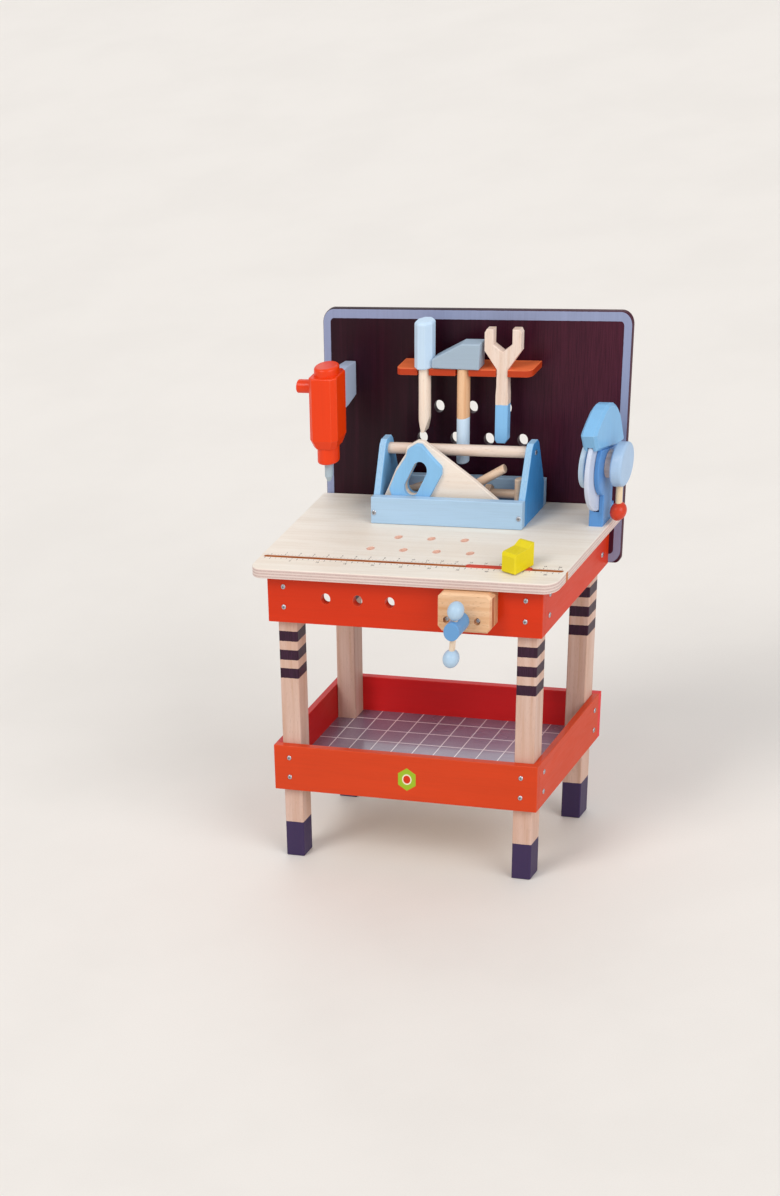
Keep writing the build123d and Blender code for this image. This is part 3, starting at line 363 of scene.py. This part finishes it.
def worktop_material():
    q = Mat("worktop_birch")
    col, rough, h, end = wood_parts(q, "x", PLY_L, PLY_D, 3.0, 20.0, 0.55)
    col, h, side = ply_edges(q, col, h, 0.472, 0.015, 7, lin(230, 211, 202),
                             lin(214, 187, 180))
    up = q.step(q.nz, 0.6, 0.9)
    # groove: orange-brown raw walls and floor
    dy = q.f("ABSOLUTE", q.f("SUBTRACT", q.y, -0.110))
    ing = q.f("MULTIPLY", q.step(dy, 0.0043, 0.0040),
              q.step(q.z, 0.4866, 0.4860))
    gro = q.noise(q.scaled(40, 900, 900), 1.0, 3.0, 0.6)
    gc = q.mix(q.step(gro, 0.35, 0.7), lin(206, 122, 52), lin(160, 84, 34))
    col = q.mix(ing, col, gc)
    # drilled holes: pinkish end grain inside
    hole = 0.0
    for x, y in ((-62.0, -16.5), (-3.0, -16.5), (56.0, -16.5), (-91.5, -63.0),
                 (-32.5, -63.0), (26.5, -63.0), (85.5, -63.0)):
        dx = q.f("SUBTRACT", q.x, x / 1000)
        ey = q.f("SUBTRACT", q.y, y / 1000)
        r = q.f("SQRT", q.f("ADD", q.f("MULTIPLY", dx, dx),
                            q.f("MULTIPLY", ey, ey)))
        hole = q.f("MAXIMUM", hole, q.step(r, 0.0077, 0.0073))
    hc = q.mix(q.step(gro, 0.4, 0.7), lin(244, 208, 190), lin(228, 184, 164))
    col = q.mix(q.f("MULTIPLY", hole, side), col, hc)
    # printed rule: centimetre ticks in front of the groove, inch ticks behind
    inx = q.step(q.f("ABSOLUTE", q.x), 0.2632, 0.2628)
    pr = q.noise(q.scaled(900, 900, 900), 1.0, 2.0, 0.5)
    ink = q.remap(pr, 0.3, 0.7, 0.55, 0.95)

    def ticks(pitch, half, y0, y1):
        m = q.f("PINGPONG", q.f("ADD", q.x, 10.0 * pitch), pitch / 2)
        t = q.step(m, half + 0.00015, half - 0.00005)
        a = q.step(q.y, y0 - 0.0001, y0 + 0.0001)
        b = q.step(q.y, y1 + 0.0001, y1 - 0.0001)
        return q.f("MULTIPLY", t, q.f("MULTIPLY", a, b))

    tick = ticks(0.010, 0.0005, -0.1186, -0.1155)
    tick = q.f("MAXIMUM", tick, ticks(0.050, 0.0006, -0.1210, -0.1155))
    tick = q.f("MAXIMUM", tick, ticks(0.0254, 0.0006, -0.1048, -0.1005))
    tick = q.f("MAXIMUM", tick, ticks(0.00635, 0.0003, -0.1048, -0.1028))
    tick = q.f("MULTIPLY", q.f("MULTIPLY", tick, up),
               q.f("MULTIPLY", inx, ink))
    col = q.mix(tick, col, lin(52, 40, 36))
    e = q.edge(0.0012)
    col = q.mix(q.f("MULTIPLY", e, 0.25), col, shade(PLY_L, 1.06))
    return q.done(col, rough, h, 0.28, 0.00025, 0.25, coat=0.05,
                  coat_rough=0.25)


def board_material():
    """Plum paint with a lilac border 13.5 mm wide, dark bare edge."""
    q = Mat("board_plum")
    seedo = (2.0, 5.0, 1.0)
    grain = q.noise(q.scaled(900, 900, 22, seedo), 1.0, 4.0, 0.62)
    broad = q.noise(q.scaled(70, 70, 3.5, seedo), 1.0, 3.0, 0.55)
    cloud = q.noise(q.scaled(6, 6, 4, seedo), 1.0, 3.0, 0.5)
    plum = q.mix(q.f("MULTIPLY", q.step(grain, 0.38, 0.70), 0.45), PLUM,
                 lin(24, 6, 16))
    plum = q.mix(q.f("MULTIPLY", q.step(broad, 0.45, 0.75), 0.40), plum,
                 lin(64, 20, 38))
    plum = q.mix(q.f("MULTIPLY", q.step(cloud, 0.45, 0.70), 0.5), plum,
                 lin(36, 8, 30))
    # painted reflection: the plum is mixed towards a lighter plum from left to right
    # across the board
    painted_reflection = q.remap(q.x, -0.05, 0.24, 0.0, 0.60)
    plum = q.mix(painted_reflection, plum, q.mix(q.step(grain, 0.35, 0.7),
                                    lin(92, 34, 56), lin(66, 20, 40)))
    lil = q.mix(q.f("MULTIPLY", q.step(grain, 0.40, 0.72), 0.30), LILAC,
                shade(LILAC, 0.78))
    lil = q.mix(q.f("MULTIPLY", q.step(broad, 0.42, 0.7), 0.3), lil,
                shade(LILAC, 1.15))
    cz, hz, hx, r = 0.5795, 0.1805, 0.266, 0.020
    qx = q.f("SUBTRACT", q.f("ABSOLUTE", q.x), hx - r)
    qz = q.f("SUBTRACT", q.f("ABSOLUTE", q.f("SUBTRACT", q.z, cz)), hz - r)
    ax = q.f("MAXIMUM", qx, 0.0)
    az = q.f("MAXIMUM", qz, 0.0)
    ln = q.f("SQRT", q.f("ADD", q.f("MULTIPLY", ax, ax),
                         q.f("MULTIPLY", az, az)))
    ins = q.f("MINIMUM", q.f("MAXIMUM", qx, qz), 0.0)
    sdf = q.f("SUBTRACT", q.f("ADD", ln, ins), r)
    wob = q.noise(q.scaled(180, 180, 180), 1.0, 2.0, 0.5)
    sdf = q.f("ADD", sdf, q.f("MULTIPLY", q.f("SUBTRACT", wob, 0.5), 0.0007))
    face = q.step(q.f("ABSOLUTE", q.ny), 0.85, 0.95)
    bord = q.f("MULTIPLY", q.step(sdf, -0.0137, -0.0133), face)
    bord = q.f("MULTIPLY", bord, q.step(sdf, -0.0004, -0.0012))
    col = q.mix(bord, plum, lil)
    e = q.edge(0.0012)
    sc = q.noise(q.scaled(150, 150, 150), 1.0, 4.0, 0.65)
    col = q.mix(q.f("MULTIPLY", e, q.remap(sc, 0.4, 0.7, 0.05, 0.45)), col,
                lin(120, 92, 120))
    h = q.f("ADD", q.f("MULTIPLY", grain, 0.8), q.f("MULTIPLY", broad, 0.4))
    h = q.f("ADD", h, q.f("MULTIPLY", bord, 0.3))
    rough = q.remap(q.f("ADD", q.f("MULTIPLY", grain, 0.5),
                        q.f("MULTIPLY", cloud, 0.5)), 0.35, 0.65, 0.34, 0.52)
    return q.done(col, rough, h, 0.40, 0.0003, 0.18, coat=0.02,
                  coat_rough=0.22)


def tray_floor_material():
    """Printed sheet on plywood: lilac-grey, white lines on a 40 mm pitch."""
    q = Mat("tray_print")
    cloud = q.noise(q.scaled(5, 9, 5), 1.0, 3.0, 0.5)
    fine = q.noise(q.scaled(500, 500, 500), 1.0, 3.0, 0.6)
    gr = q.noise(q.scaled(14, 420, 420), 1.0, 4.0, 0.6)
    base = q.mix(q.step(cloud, 0.35, 0.65), lin(158, 154, 174),
                 lin(142, 134, 158))
    # painted reflection of the red walls: the floor is mixed towards a darker, redder plum
    # towards the rear left
    wall_reflection = q.remap(q.f("SUBTRACT", q.y, q.f("MULTIPLY", q.x, 0.6)), -0.13, 0.20,
                  0.0, 0.75)
    base = q.mix(wall_reflection, base, q.mix(q.step(cloud, 0.35, 0.65),
                                  lin(112, 84, 108), lin(94, 62, 86)))
    base = q.mix(q.f("MULTIPLY", q.step(fine, 0.4, 0.7), 0.12), base,
                 lin(190, 186, 200))
    base = q.mix(q.f("MULTIPLY", q.step(gr, 0.42, 0.7), 0.16), base,
                 lin(104, 92, 122))
    wob = q.noise(q.scaled(90, 90, 90), 1.0, 2.0, 0.5)
    wv = q.f("MULTIPLY", q.f("SUBTRACT", wob, 0.5), 0.0004)
    # ping-pong is 0 on each line and half the pitch midway between lines
    mx = q.f("PINGPONG", q.f("ADD", q.f("ADD", q.x, 0.8), wv), 0.020)
    my = q.f("PINGPONG", q.f("ADD", q.f("ADD", q.y, 0.78), wv), 0.020)
    line = q.f("MAXIMUM", q.step(mx, 0.00115, 0.00085),
               q.step(my, 0.00115, 0.00085))
    up = q.step(q.nz, 0.7, 0.9)
    worn = q.remap(fine, 0.3, 0.7, 0.70, 1.0)
    col = q.mix(q.f("MULTIPLY", q.f("MULTIPLY", line, up), worn), base,
                lin(236, 234, 240))
    pw = q.noise(q.scaled(20, 20, 1500), 1.0, 2.0, 0.5)
    plyc = q.mix(q.step(pw, 0.4, 0.6), lin(226, 200, 164), lin(178, 140, 100))
    under = q.step(q.nz, 0.55, 0.4)
    col = q.mix(under, col, plyc)
    h = q.f("ADD", q.f("MULTIPLY", gr, 0.5), q.f("MULTIPLY", line, 0.25))
    rough = q.remap(cloud, 0.3, 0.7, 0.20, 0.30)
    return q.done(col, rough, h, 0.12, 0.0001, 0.6, coat=0.5,
                  coat_rough=0.08)


def tray_front_material():
    """Red paint with a printed lime nut, a plain stand-in for a badge."""
    q = Mat("tray_front_red")
    col, rough, h, e = paint_parts(q, "x", RED_TRAY, 5.0, 0.45,
                                   lin(240, 140, 96))
    dx = q.f("SUBTRACT", q.x, BADGE_X)
    dz = q.f("SUBTRACT", q.z, 0.1570)
    ax, az = q.f("ABSOLUTE", dx), q.f("ABSOLUTE", dz)
    hexd = q.f("MAXIMUM", ax, q.f("ADD", q.f("MULTIPLY", ax, 0.5),
                                  q.f("MULTIPLY", az, 0.8660)))
    r = q.f("SQRT", q.f("ADD", q.f("MULTIPLY", dx, dx),
                        q.f("MULTIPLY", dz, dz)))
    body = q.step(hexd, 0.0166, 0.0162)
    ring = q.f("MULTIPLY", q.step(r, 0.0090, 0.0087), 1.0)
    inner = q.step(r, 0.0068, 0.0065)
    front = q.step(q.ny, -0.7, -0.9)
    pn = q.noise(q.scaled(700, 700, 700), 1.0, 2.0, 0.5)
    ink = q.remap(pn, 0.3, 0.7, 0.88, 1.0)
    col = q.mix(q.f("MULTIPLY", q.f("MULTIPLY", body, front), ink), col, LIME)
    col = q.mix(q.f("MULTIPLY", q.f("MULTIPLY", ring, front), ink), col, CREAM)
    col = q.mix(q.f("MULTIPLY", inner, front), col, RED)
    h = q.f("ADD", h, q.f("MULTIPLY", body, 0.15))
    return q.done(col, rough, h, 0.3, 0.00025, 0.16, coat=0.09,
                  coat_rough=0.14)


def steel_material():
    q = Mat("zinc_steel")
    br = q.noise(q.scaled(2200, 2200, 2200), 1.0, 3.0, 0.6)
    sc = q.noise(q.scaled(500, 4000, 500), 1.0, 3.0, 0.6)
    col = q.mix(q.step(br, 0.35, 0.7), lin(206, 208, 214), lin(156, 158, 168))
    # painted shade: the colour goes dark grey in the recesses, where the local occlusion
    # is strong
    ao = q.new("ShaderNodeAmbientOcclusion", samples=6, only_local=True)
    ao.inputs["Distance"].default_value = 0.0016
    col = q.mix(q.step(ao.outputs["AO"], 0.75, 0.35), col, lin(52, 46, 60))
    rough = q.remap(sc, 0.3, 0.7, 0.22, 0.42)
    return q.done(col, rough, br, 0.25, 0.0001, 0.5, metal=0.9)


def two_tone(name, axis, split_axis, split, below, above_l, above_d, seed,
             gloss=0.25, soft=0.0003):
    """Painted below a line, bare wood above it."""
    q = Mat(name)
    wc, wr, wh, end = wood_parts(q, axis, above_l, above_d, seed, 60.0, 0.9)
    pc, pr, ph, e = paint_parts(q, axis, below, seed, 0.4)
    u = {"x": q.x, "y": q.y, "z": q.z}[split_axis]
    wob = q.noise(q.scaled(200, 200, 200), 1.0, 2.0, 0.5)
    u = q.f("ADD", u, q.f("MULTIPLY", q.f("SUBTRACT", wob, 0.5), 0.0014))
    m = q.step(u, split + soft, split - soft)
    col = q.mix(m, wc, pc)
    rough = q.f("ADD", q.f("MULTIPLY", m, pr),
                q.f("MULTIPLY", q.f("SUBTRACT", 1.0, m), wr))
    h = q.f("ADD", q.f("MULTIPLY", m, ph),
            q.f("MULTIPLY", q.f("SUBTRACT", 1.0, m), wh))
    return q.done(col, rough, h, 0.32, 0.00028, 0.25, coat=gloss * 0.35,
                  coat_rough=0.2)


def nuts_material():
    q = Mat("toy_nuts")
    cols = [(-0.0795, lin(214, 62, 44)), (-0.041, lin(96, 176, 92)),
            (-0.002, lin(226, 196, 40)), (0.5, lin(70, 134, 196))]
    base = cols[0][1]
    for i in range(1, len(cols)):
        base = q.mix(q.step(q.x, cols[i - 1][0] - 0.0001,
                            cols[i - 1][0] + 0.0001), base, cols[i][1])
    g = q.noise(q.scaled(400, 400, 60), 1.0, 4.0, 0.6)
    col = q.mix(q.f("MULTIPLY", q.step(g, 0.4, 0.7), 0.22), base,
                lin(90, 60, 40))
    e = q.edge(0.0012)
    col = q.mix(q.f("MULTIPLY", e, 0.35), col, lin(236, 210, 170))
    return q.done(col, q.remap(g, 0.3, 0.7, 0.34, 0.5), g, 0.3, 0.0003, 0.5,
                  coat=0.2)


BADGE_X = 0.0075

# ------------------------------------------------------- give each its look
mats = {}


def use(names, m):
    for n in names.split():
        o = NODES[n]
        o.data.materials.clear()
        o.data.materials.append(m)
        mats[n] = m


for i, n in enumerate(("leg_front_left", "leg_front_right", "leg_rear_left",
                       "leg_rear_right")):
    use(n, leg_material("leg_wood_%d" % i, 1.0 + 3.3 * i))
REDW = lin(240, 140, 96)
use("apron_front", paint("apron_red_a", "x", RED, 1.0, 0.45, 0.3, REDW))
use("apron_rear", paint("apron_red_b", "x", RED, 2.0, 0.45, 0.3, REDW))
use("apron_left", paint("apron_red_c", "y", RED, 3.0, 0.45, 0.3, REDW))
use("apron_right", paint("apron_red_d", "y", RED, 4.0, 0.45, 0.3, REDW))
use("tray_front", tray_front_material())
use("tray_rear", paint("tray_red_b", "x", (0.76, 0.020, 0.022, 1.0), 6.0, 0.45, 0.3, REDW))
use("tray_left", paint("tray_red_c", "y", RED_DEEP, 7.0, 0.45, 0.3, REDW))
use("tray_right", paint("tray_red_d", "y", RED_TRAY, 8.0, 0.45, 0.3, REDW))
use("tray_floor", tray_floor_material())
use("frame_cleats", wood("cleat_pine", "x", LEG_L, LEG_D, 9.0, 70.0))
use("worktop", worktop_material())
use("backboard", board_material())
# the rack's upward faces get a lighter orange: a painted highlight
use("tool_rack", paint("rack_red", "x", lin(188, 62, 26), 10.0, 0.45, 0.3,
                       REDW, top_highlight=lin(250, 122, 72)))
use("frame_screws fixing_screws toolbox_screws vice_guide_screws",
    steel_material())
use("drill_peg", wood("peg_wood", "y", WARM_L, WARM_D, 11.0))
use("vice_fixed_jaw", wood("jaw_wood_a", "x", WARM_L, WARM_D, 12.0, 48.0, 1.1))
# the moving jaw takes a purple-grey side colour: painted shade on its faces towards +x
use("vice_moving_jaw", wood("jaw_wood_b", "x", lin(238, 196, 156),
                            lin(214, 156, 106), 13.0, 48.0, 1.15, 0.2,
                            (0.72, 0.52, 0.56, 1.0)))
use("vice_nut_block", wood("nut_block", "y", WARM_L, WARM_D, 14.0))
use("vice_guide_rods", wood("guide_rods", "y", WARM_L, WARM_D, 15.0))
use("vice_spindle", turned("spindle_blue", "y", (0.117, 0, 0.430), MIDB, 1.0,
                           0.35))
use("tommy_bar", wood("bar_wood", "z", lin(232, 214, 192),
                      lin(206, 178, 150), 16.0, 80.0))
use("tommy_balls", turned("ball_blue", "z", (0.117, -0.201, 0.43), 
                          lin(174, 200, 222), 2.0, 0.4))
SC = (0.25, 0.071, 0.574)
use("saw_stand", paint("stand_sky", "z", SKY_D, 17.0, 0.45, 0.25))
use("saw_guard", paint("guard_sky", "z", SKY, 18.0, 0.5, 0.3,
                       lin(190, 220, 244)))
use("saw_blade", turned("blade_white", "x", SC, lin(200, 208, 226), 3.0, 0.3,
                        0.25, lin(240, 244, 250)))
use("saw_disc", turned("disc_pale", "x", SC, lin(192, 214, 233), 4.0, 0.3))
use("saw_bosses", wood("boss_wood", "x", lin(214, 196, 188),
                       lin(184, 160, 152), 19.0, 90.0))
use("saw_axle", wood("axle_wood", "x", WARM_L, WARM_D, 20.0))
use("crank_wheel", turned("wheel_pale", "x", SC, lin(168, 195, 224), 5.0,
                          0.35))
use("crank_peg", wood("crank_peg_wood", "z", PALE_L, PALE_D, 21.0))
use("crank_ball", turned("ball_red", "z", (0.2845, 0.071, 0.506),
                         lin(208, 60, 32), 6.0, 0.6, 0.2))
use("stop_runner", paint("runner_red", "x", lin(206, 64, 44), 22.0, 0.45, 0.2,
                         REDW))
use("stop_block", paint("stop_yellow", "y", YEL, 23.0, 0.4, 0.3,
                        lin(244, 236, 120)))
use("hammer_head", paint("head_grey", "x", GREYB, 24.0, 0.4, 0.25,
                         lin(190, 202, 214)))
use("hammer_handle", two_tone("hammer_two", "z", "z", 0.6205,
                              lin(206, 228, 248), lin(242, 200, 160),
                              lin(214, 156, 110), 25.0))
use("screwdriver_handle", paint("driver_blue", "z", lin(196, 219, 241), 26.0,
                                0.4, 0.35, lin(214, 232, 246)))
use("screwdriver_shaft", wood("driver_wood", "z", lin(248, 236, 222),
                              lin(236, 208, 184), 27.0, 90.0))
use("wrench", two_tone("wrench_two", "z", "z", 0.641, lin(134, 191, 238),
                       lin(240, 222, 210), lin(220, 190, 168), 28.0))
DR = (0.80, 0.045, 0.002, 1.0)
DRW = lin(250, 150, 110)
use("drill_body", paint("drill_red", "z", DR, 29.0, 0.4, 0.6, DRW, 0.07))
use("drill_cap", turned("drill_cap_red", "z", (-0.218, 0.051, 0.7), DR, 30.0,
                        0.6, 0.3, DRW))
use("drill_knob", turned("drill_knob_red", "x", (-0.25, 0.051, 0.68), DR, 31.0,
                         0.6, 0.3, DRW))
use("drill_handle", paint("drill_grip_blue", "z", lin(176, 189, 212), 32.0,
                          0.4, 0.3))
use("drill_chuck", turned("chuck_red", "z", (-0.218, 0.051, 0.58), DR, 33.0,
                          0.5, 0.3, DRW))
use("drill_bit", turned("bit_grey", "z", (-0.218, 0.051, 0.55),
                        lin(170, 186, 196), 34.0, 0.3))
TW = lin(196, 222, 246)


def box_end_material():
    """Sky blue with paler sawn edges and a deeper outer face at the right."""
    q = Mat("box_end_blue")
    col, rough, h, e = paint_parts(q, "z", lin(124, 182, 228), 35.0, 0.6, TW)
    gn = q.noise(q.scaled(600, 600, 40), 1.0, 4.0, 0.6)
    rim = q.step(q.f("ABSOLUTE", q.nx), 0.6, 0.3)
    col = q.mix(q.f("MULTIPLY", rim, 0.8), col,
                q.mix(q.step(gn, 0.4, 0.7), lin(168, 204, 232),
                      lin(148, 190, 224)))
    out = q.f("MULTIPLY", q.step(q.nx, 0.7, 0.95), q.step(q.x, 0.10, 0.11))
    col = q.mix(q.f("MULTIPLY", out, 0.85), col,
                q.mix(q.step(gn, 0.4, 0.7), lin(58, 146, 214),
                      lin(46, 128, 196)))
    return q.done(col, rough, h, 0.3, 0.00025, 0.16, coat=0.07,
                  coat_rough=0.14)


use("toolbox_ends", box_end_material())
use("toolbox_sides", paint("box_side_blue", "x", lin(172, 202, 228), 36.0, 0.5,
                           0.25, TW, 0.13))
use("toolbox_bottom", paint("box_floor_blue", "x", SKY_D, 37.0, 0.4, 0.2, TW))
use("toolbox_rail", wood("rail_wood", "x", lin(232, 216, 204),
                         lin(212, 182, 160), 38.0, 70.0))
use("wood_bolts", wood("bolt_wood", "x", lin(240, 214, 190),
                       lin(220, 182, 150), 39.0, 90.0))
use("wood_nuts", nuts_material())
use("handsaw_plate", wood("saw_plate_wood", "x", lin(244, 232, 220),
                          lin(230, 209, 189), 40.0, 26.0, 0.7))
use("handsaw_cheeks", paint("saw_cheek_blue", "z", lin(136, 189, 230), 41.0,
                            0.5, 0.25, TW))

# ------------------------------------------------- printed numerals of the rule
ink = Mat("rule_ink")
n1 = ink.noise(ink.scaled(1200, 1200, 1200), 1.0, 2.0, 0.5)
c1 = ink.mix(ink.step(n1, 0.35, 0.7), lin(44, 32, 30), lin(92, 74, 66))
ink_m = ink.done(c1, 0.6, n1, 0.1, 0.0001)


def numeral(text, x, y, size):
    cu = bpy.data.curves.new("num_" + text, "FONT")
    cu.body = text
    cu.size = size
    cu.align_x = "CENTER"
    cu.align_y = "CENTER"
    cu.extrude = 0.00006
    cu.resolution_u = 3
    o = bpy.data.objects.new("num_" + text, cu)
    bpy.context.collection.objects.link(o)
    o.location = (x, y, 0.48708)
    bpy.context.view_layer.update()
    dg = bpy.context.evaluated_depsgraph_get()
    me = bpy.data.meshes.new_from_object(o.evaluated_get(dg))
    me.transform(o.matrix_world)
    bpy.data.objects.remove(o)
    return me


parts = []
for k in range(1, 11):
    parts.append(numeral(str(5 * k), -0.26 + 0.05 * k - 0.0, -0.1252, 0.0062))
for k in range(1, 21):
    parts.append(numeral(str(k), -0.254 + 0.0254 * k - 0.0, -0.0965, 0.0056))
import bmesh
bm = bmesh.new()
for me in parts:
    bm.from_mesh(me)
bmesh.ops.remove_doubles(bm, verts=bm.verts, dist=1e-6)
nm = bpy.data.meshes.new("rule_numerals")
bm.to_mesh(nm)
bm.free()
nums = bpy.data.objects.new("rule_numerals", nm)
nm.materials.append(ink_m)
bpy.context.collection.objects.link(nums)
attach(nums, "bench")

# ------------------------------------------------------------------- stage
bpy.ops.mesh.primitive_circle_add(vertices=96, radius=40.0, fill_type="NGON",
                                  location=(0, 0, -0.0005))
floor = bpy.context.object
floor.name = "studio_floor"
q = Mat("studio_floor")
fn = q.noise(q.scaled(3, 3, 3), 1.0, 4.0, 0.55)
ff = q.noise(q.scaled(350, 350, 350), 1.0, 3.0, 0.6)
fc = q.mix(q.step(fn, 0.35, 0.7), lin(236, 231, 225), lin(233, 228, 222))
fc = q.mix(q.f("MULTIPLY", q.step(ff, 0.45, 0.7), 0.10), fc, lin(214, 208, 202))
floor.data.materials.append(q.done(fc, q.remap(ff, 0.3, 0.7, 0.5, 0.62), ff,
                                   0.08, 0.0003, 0.3))

world = bpy.data.worlds.new("studio")
bpy.context.scene.world = world
world.use_nodes = True
bg = world.node_tree.nodes["Background"]
bg.inputs[0].default_value = (0.97, 0.97, 0.98, 1)
bg.inputs[1].default_value = 0.55


def sun(name, frm, strength, angle, color=(1, 1, 1)):
    """A wide soft light from a direction, even over the whole floor."""
    li = bpy.data.lights.new(name, "SUN")
    li.energy = strength
    li.angle = math.radians(angle)
    li.color = color
    o = bpy.data.objects.new(name, li)
    bpy.context.collection.objects.link(o)
    o.location = Vector(frm) * 3.0
    o.rotation_mode = "QUATERNION"
    o.rotation_quaternion = (-Vector(frm)).to_track_quat("-Z", "Y")
    return o


sun("key", (-0.45, -0.72, 0.80), 1.15, 28, (1.0, 0.985, 0.96))
sun("fill", (0.80, -0.42, 0.50), 1.35, 40, (0.98, 0.99, 1.0))
sun("back", (-0.35, 0.75, 0.75), 0.35, 50, (1, 1, 1))

# ------------------------------------------------------------------ camera
F, YAW, PITCH, ROLL = 2685.3482, 0.7467, -0.8906, -0.2621
SX, SY = -534.5268, 1660.1115
LOC = Vector((2.0174665, -4.6625184, 2.385759))
cam = bpy.data.objects.new("camera", bpy.data.cameras.new("camera"))
bpy.context.collection.objects.link(cam)
fwd = Vector((-math.sin(YAW) * math.cos(PITCH), math.cos(YAW) * math.cos(PITCH),
              math.sin(PITCH)))
right = Vector((math.cos(YAW), math.sin(YAW), 0))
up = right.cross(fwd)
r2 = right * math.cos(ROLL) + up * math.sin(ROLL)
u2 = up * math.cos(ROLL) - right * math.sin(ROLL)
rot = Matrix((r2, u2, -fwd)).transposed()
cam.rotation_mode = "QUATERNION"
cam.rotation_quaternion = rot.to_quaternion()
cam.location = LOC
cam.data.sensor_width = 36.0
cam.data.sensor_fit = "AUTO"
cam.data.lens = F * 36.0 / 1196.0
cam.data.clip_start, cam.data.clip_end = 0.05, 200.0
# the lens shift belongs to this standpoint only: each shift is a curve over the
# camera's x that is flat at its value here and nothing anywhere else
for path, val in (("shift_x", -SX / 1196.0), ("shift_y", SY / 1196.0)):
    setattr(cam.data, path, val)
    curve = cam.data.driver_add(path)
    curve.driver.type = "AVERAGE"
    v = curve.driver.variables.new()
    v.name = "lx"
    v.type = "TRANSFORMS"
    v.targets[0].id = cam
    v.targets[0].transform_type = "LOC_X"
    v.targets[0].transform_space = "WORLD_SPACE"
    while curve.modifiers:
        curve.modifiers.remove(curve.modifiers[0])
    while curve.keyframe_points:
        curve.keyframe_points.remove(curve.keyframe_points[0])
    curve.keyframe_points.add(4)
    for k, (dx, y) in zip(curve.keyframe_points, ((-0.04, 0.0), (-0.02, val),
                                                  (0.02, val), (0.04, 0.0))):
        k.co = (LOC.x + dx, y)
        k.interpolation = "LINEAR"
    curve.extrapolation = "CONSTANT"
    curve.update()
bpy.context.scene.camera = cam
bpy.context.scene.view_settings.view_transform = "Standard"
bpy.context.scene.view_settings.exposure = 0.0
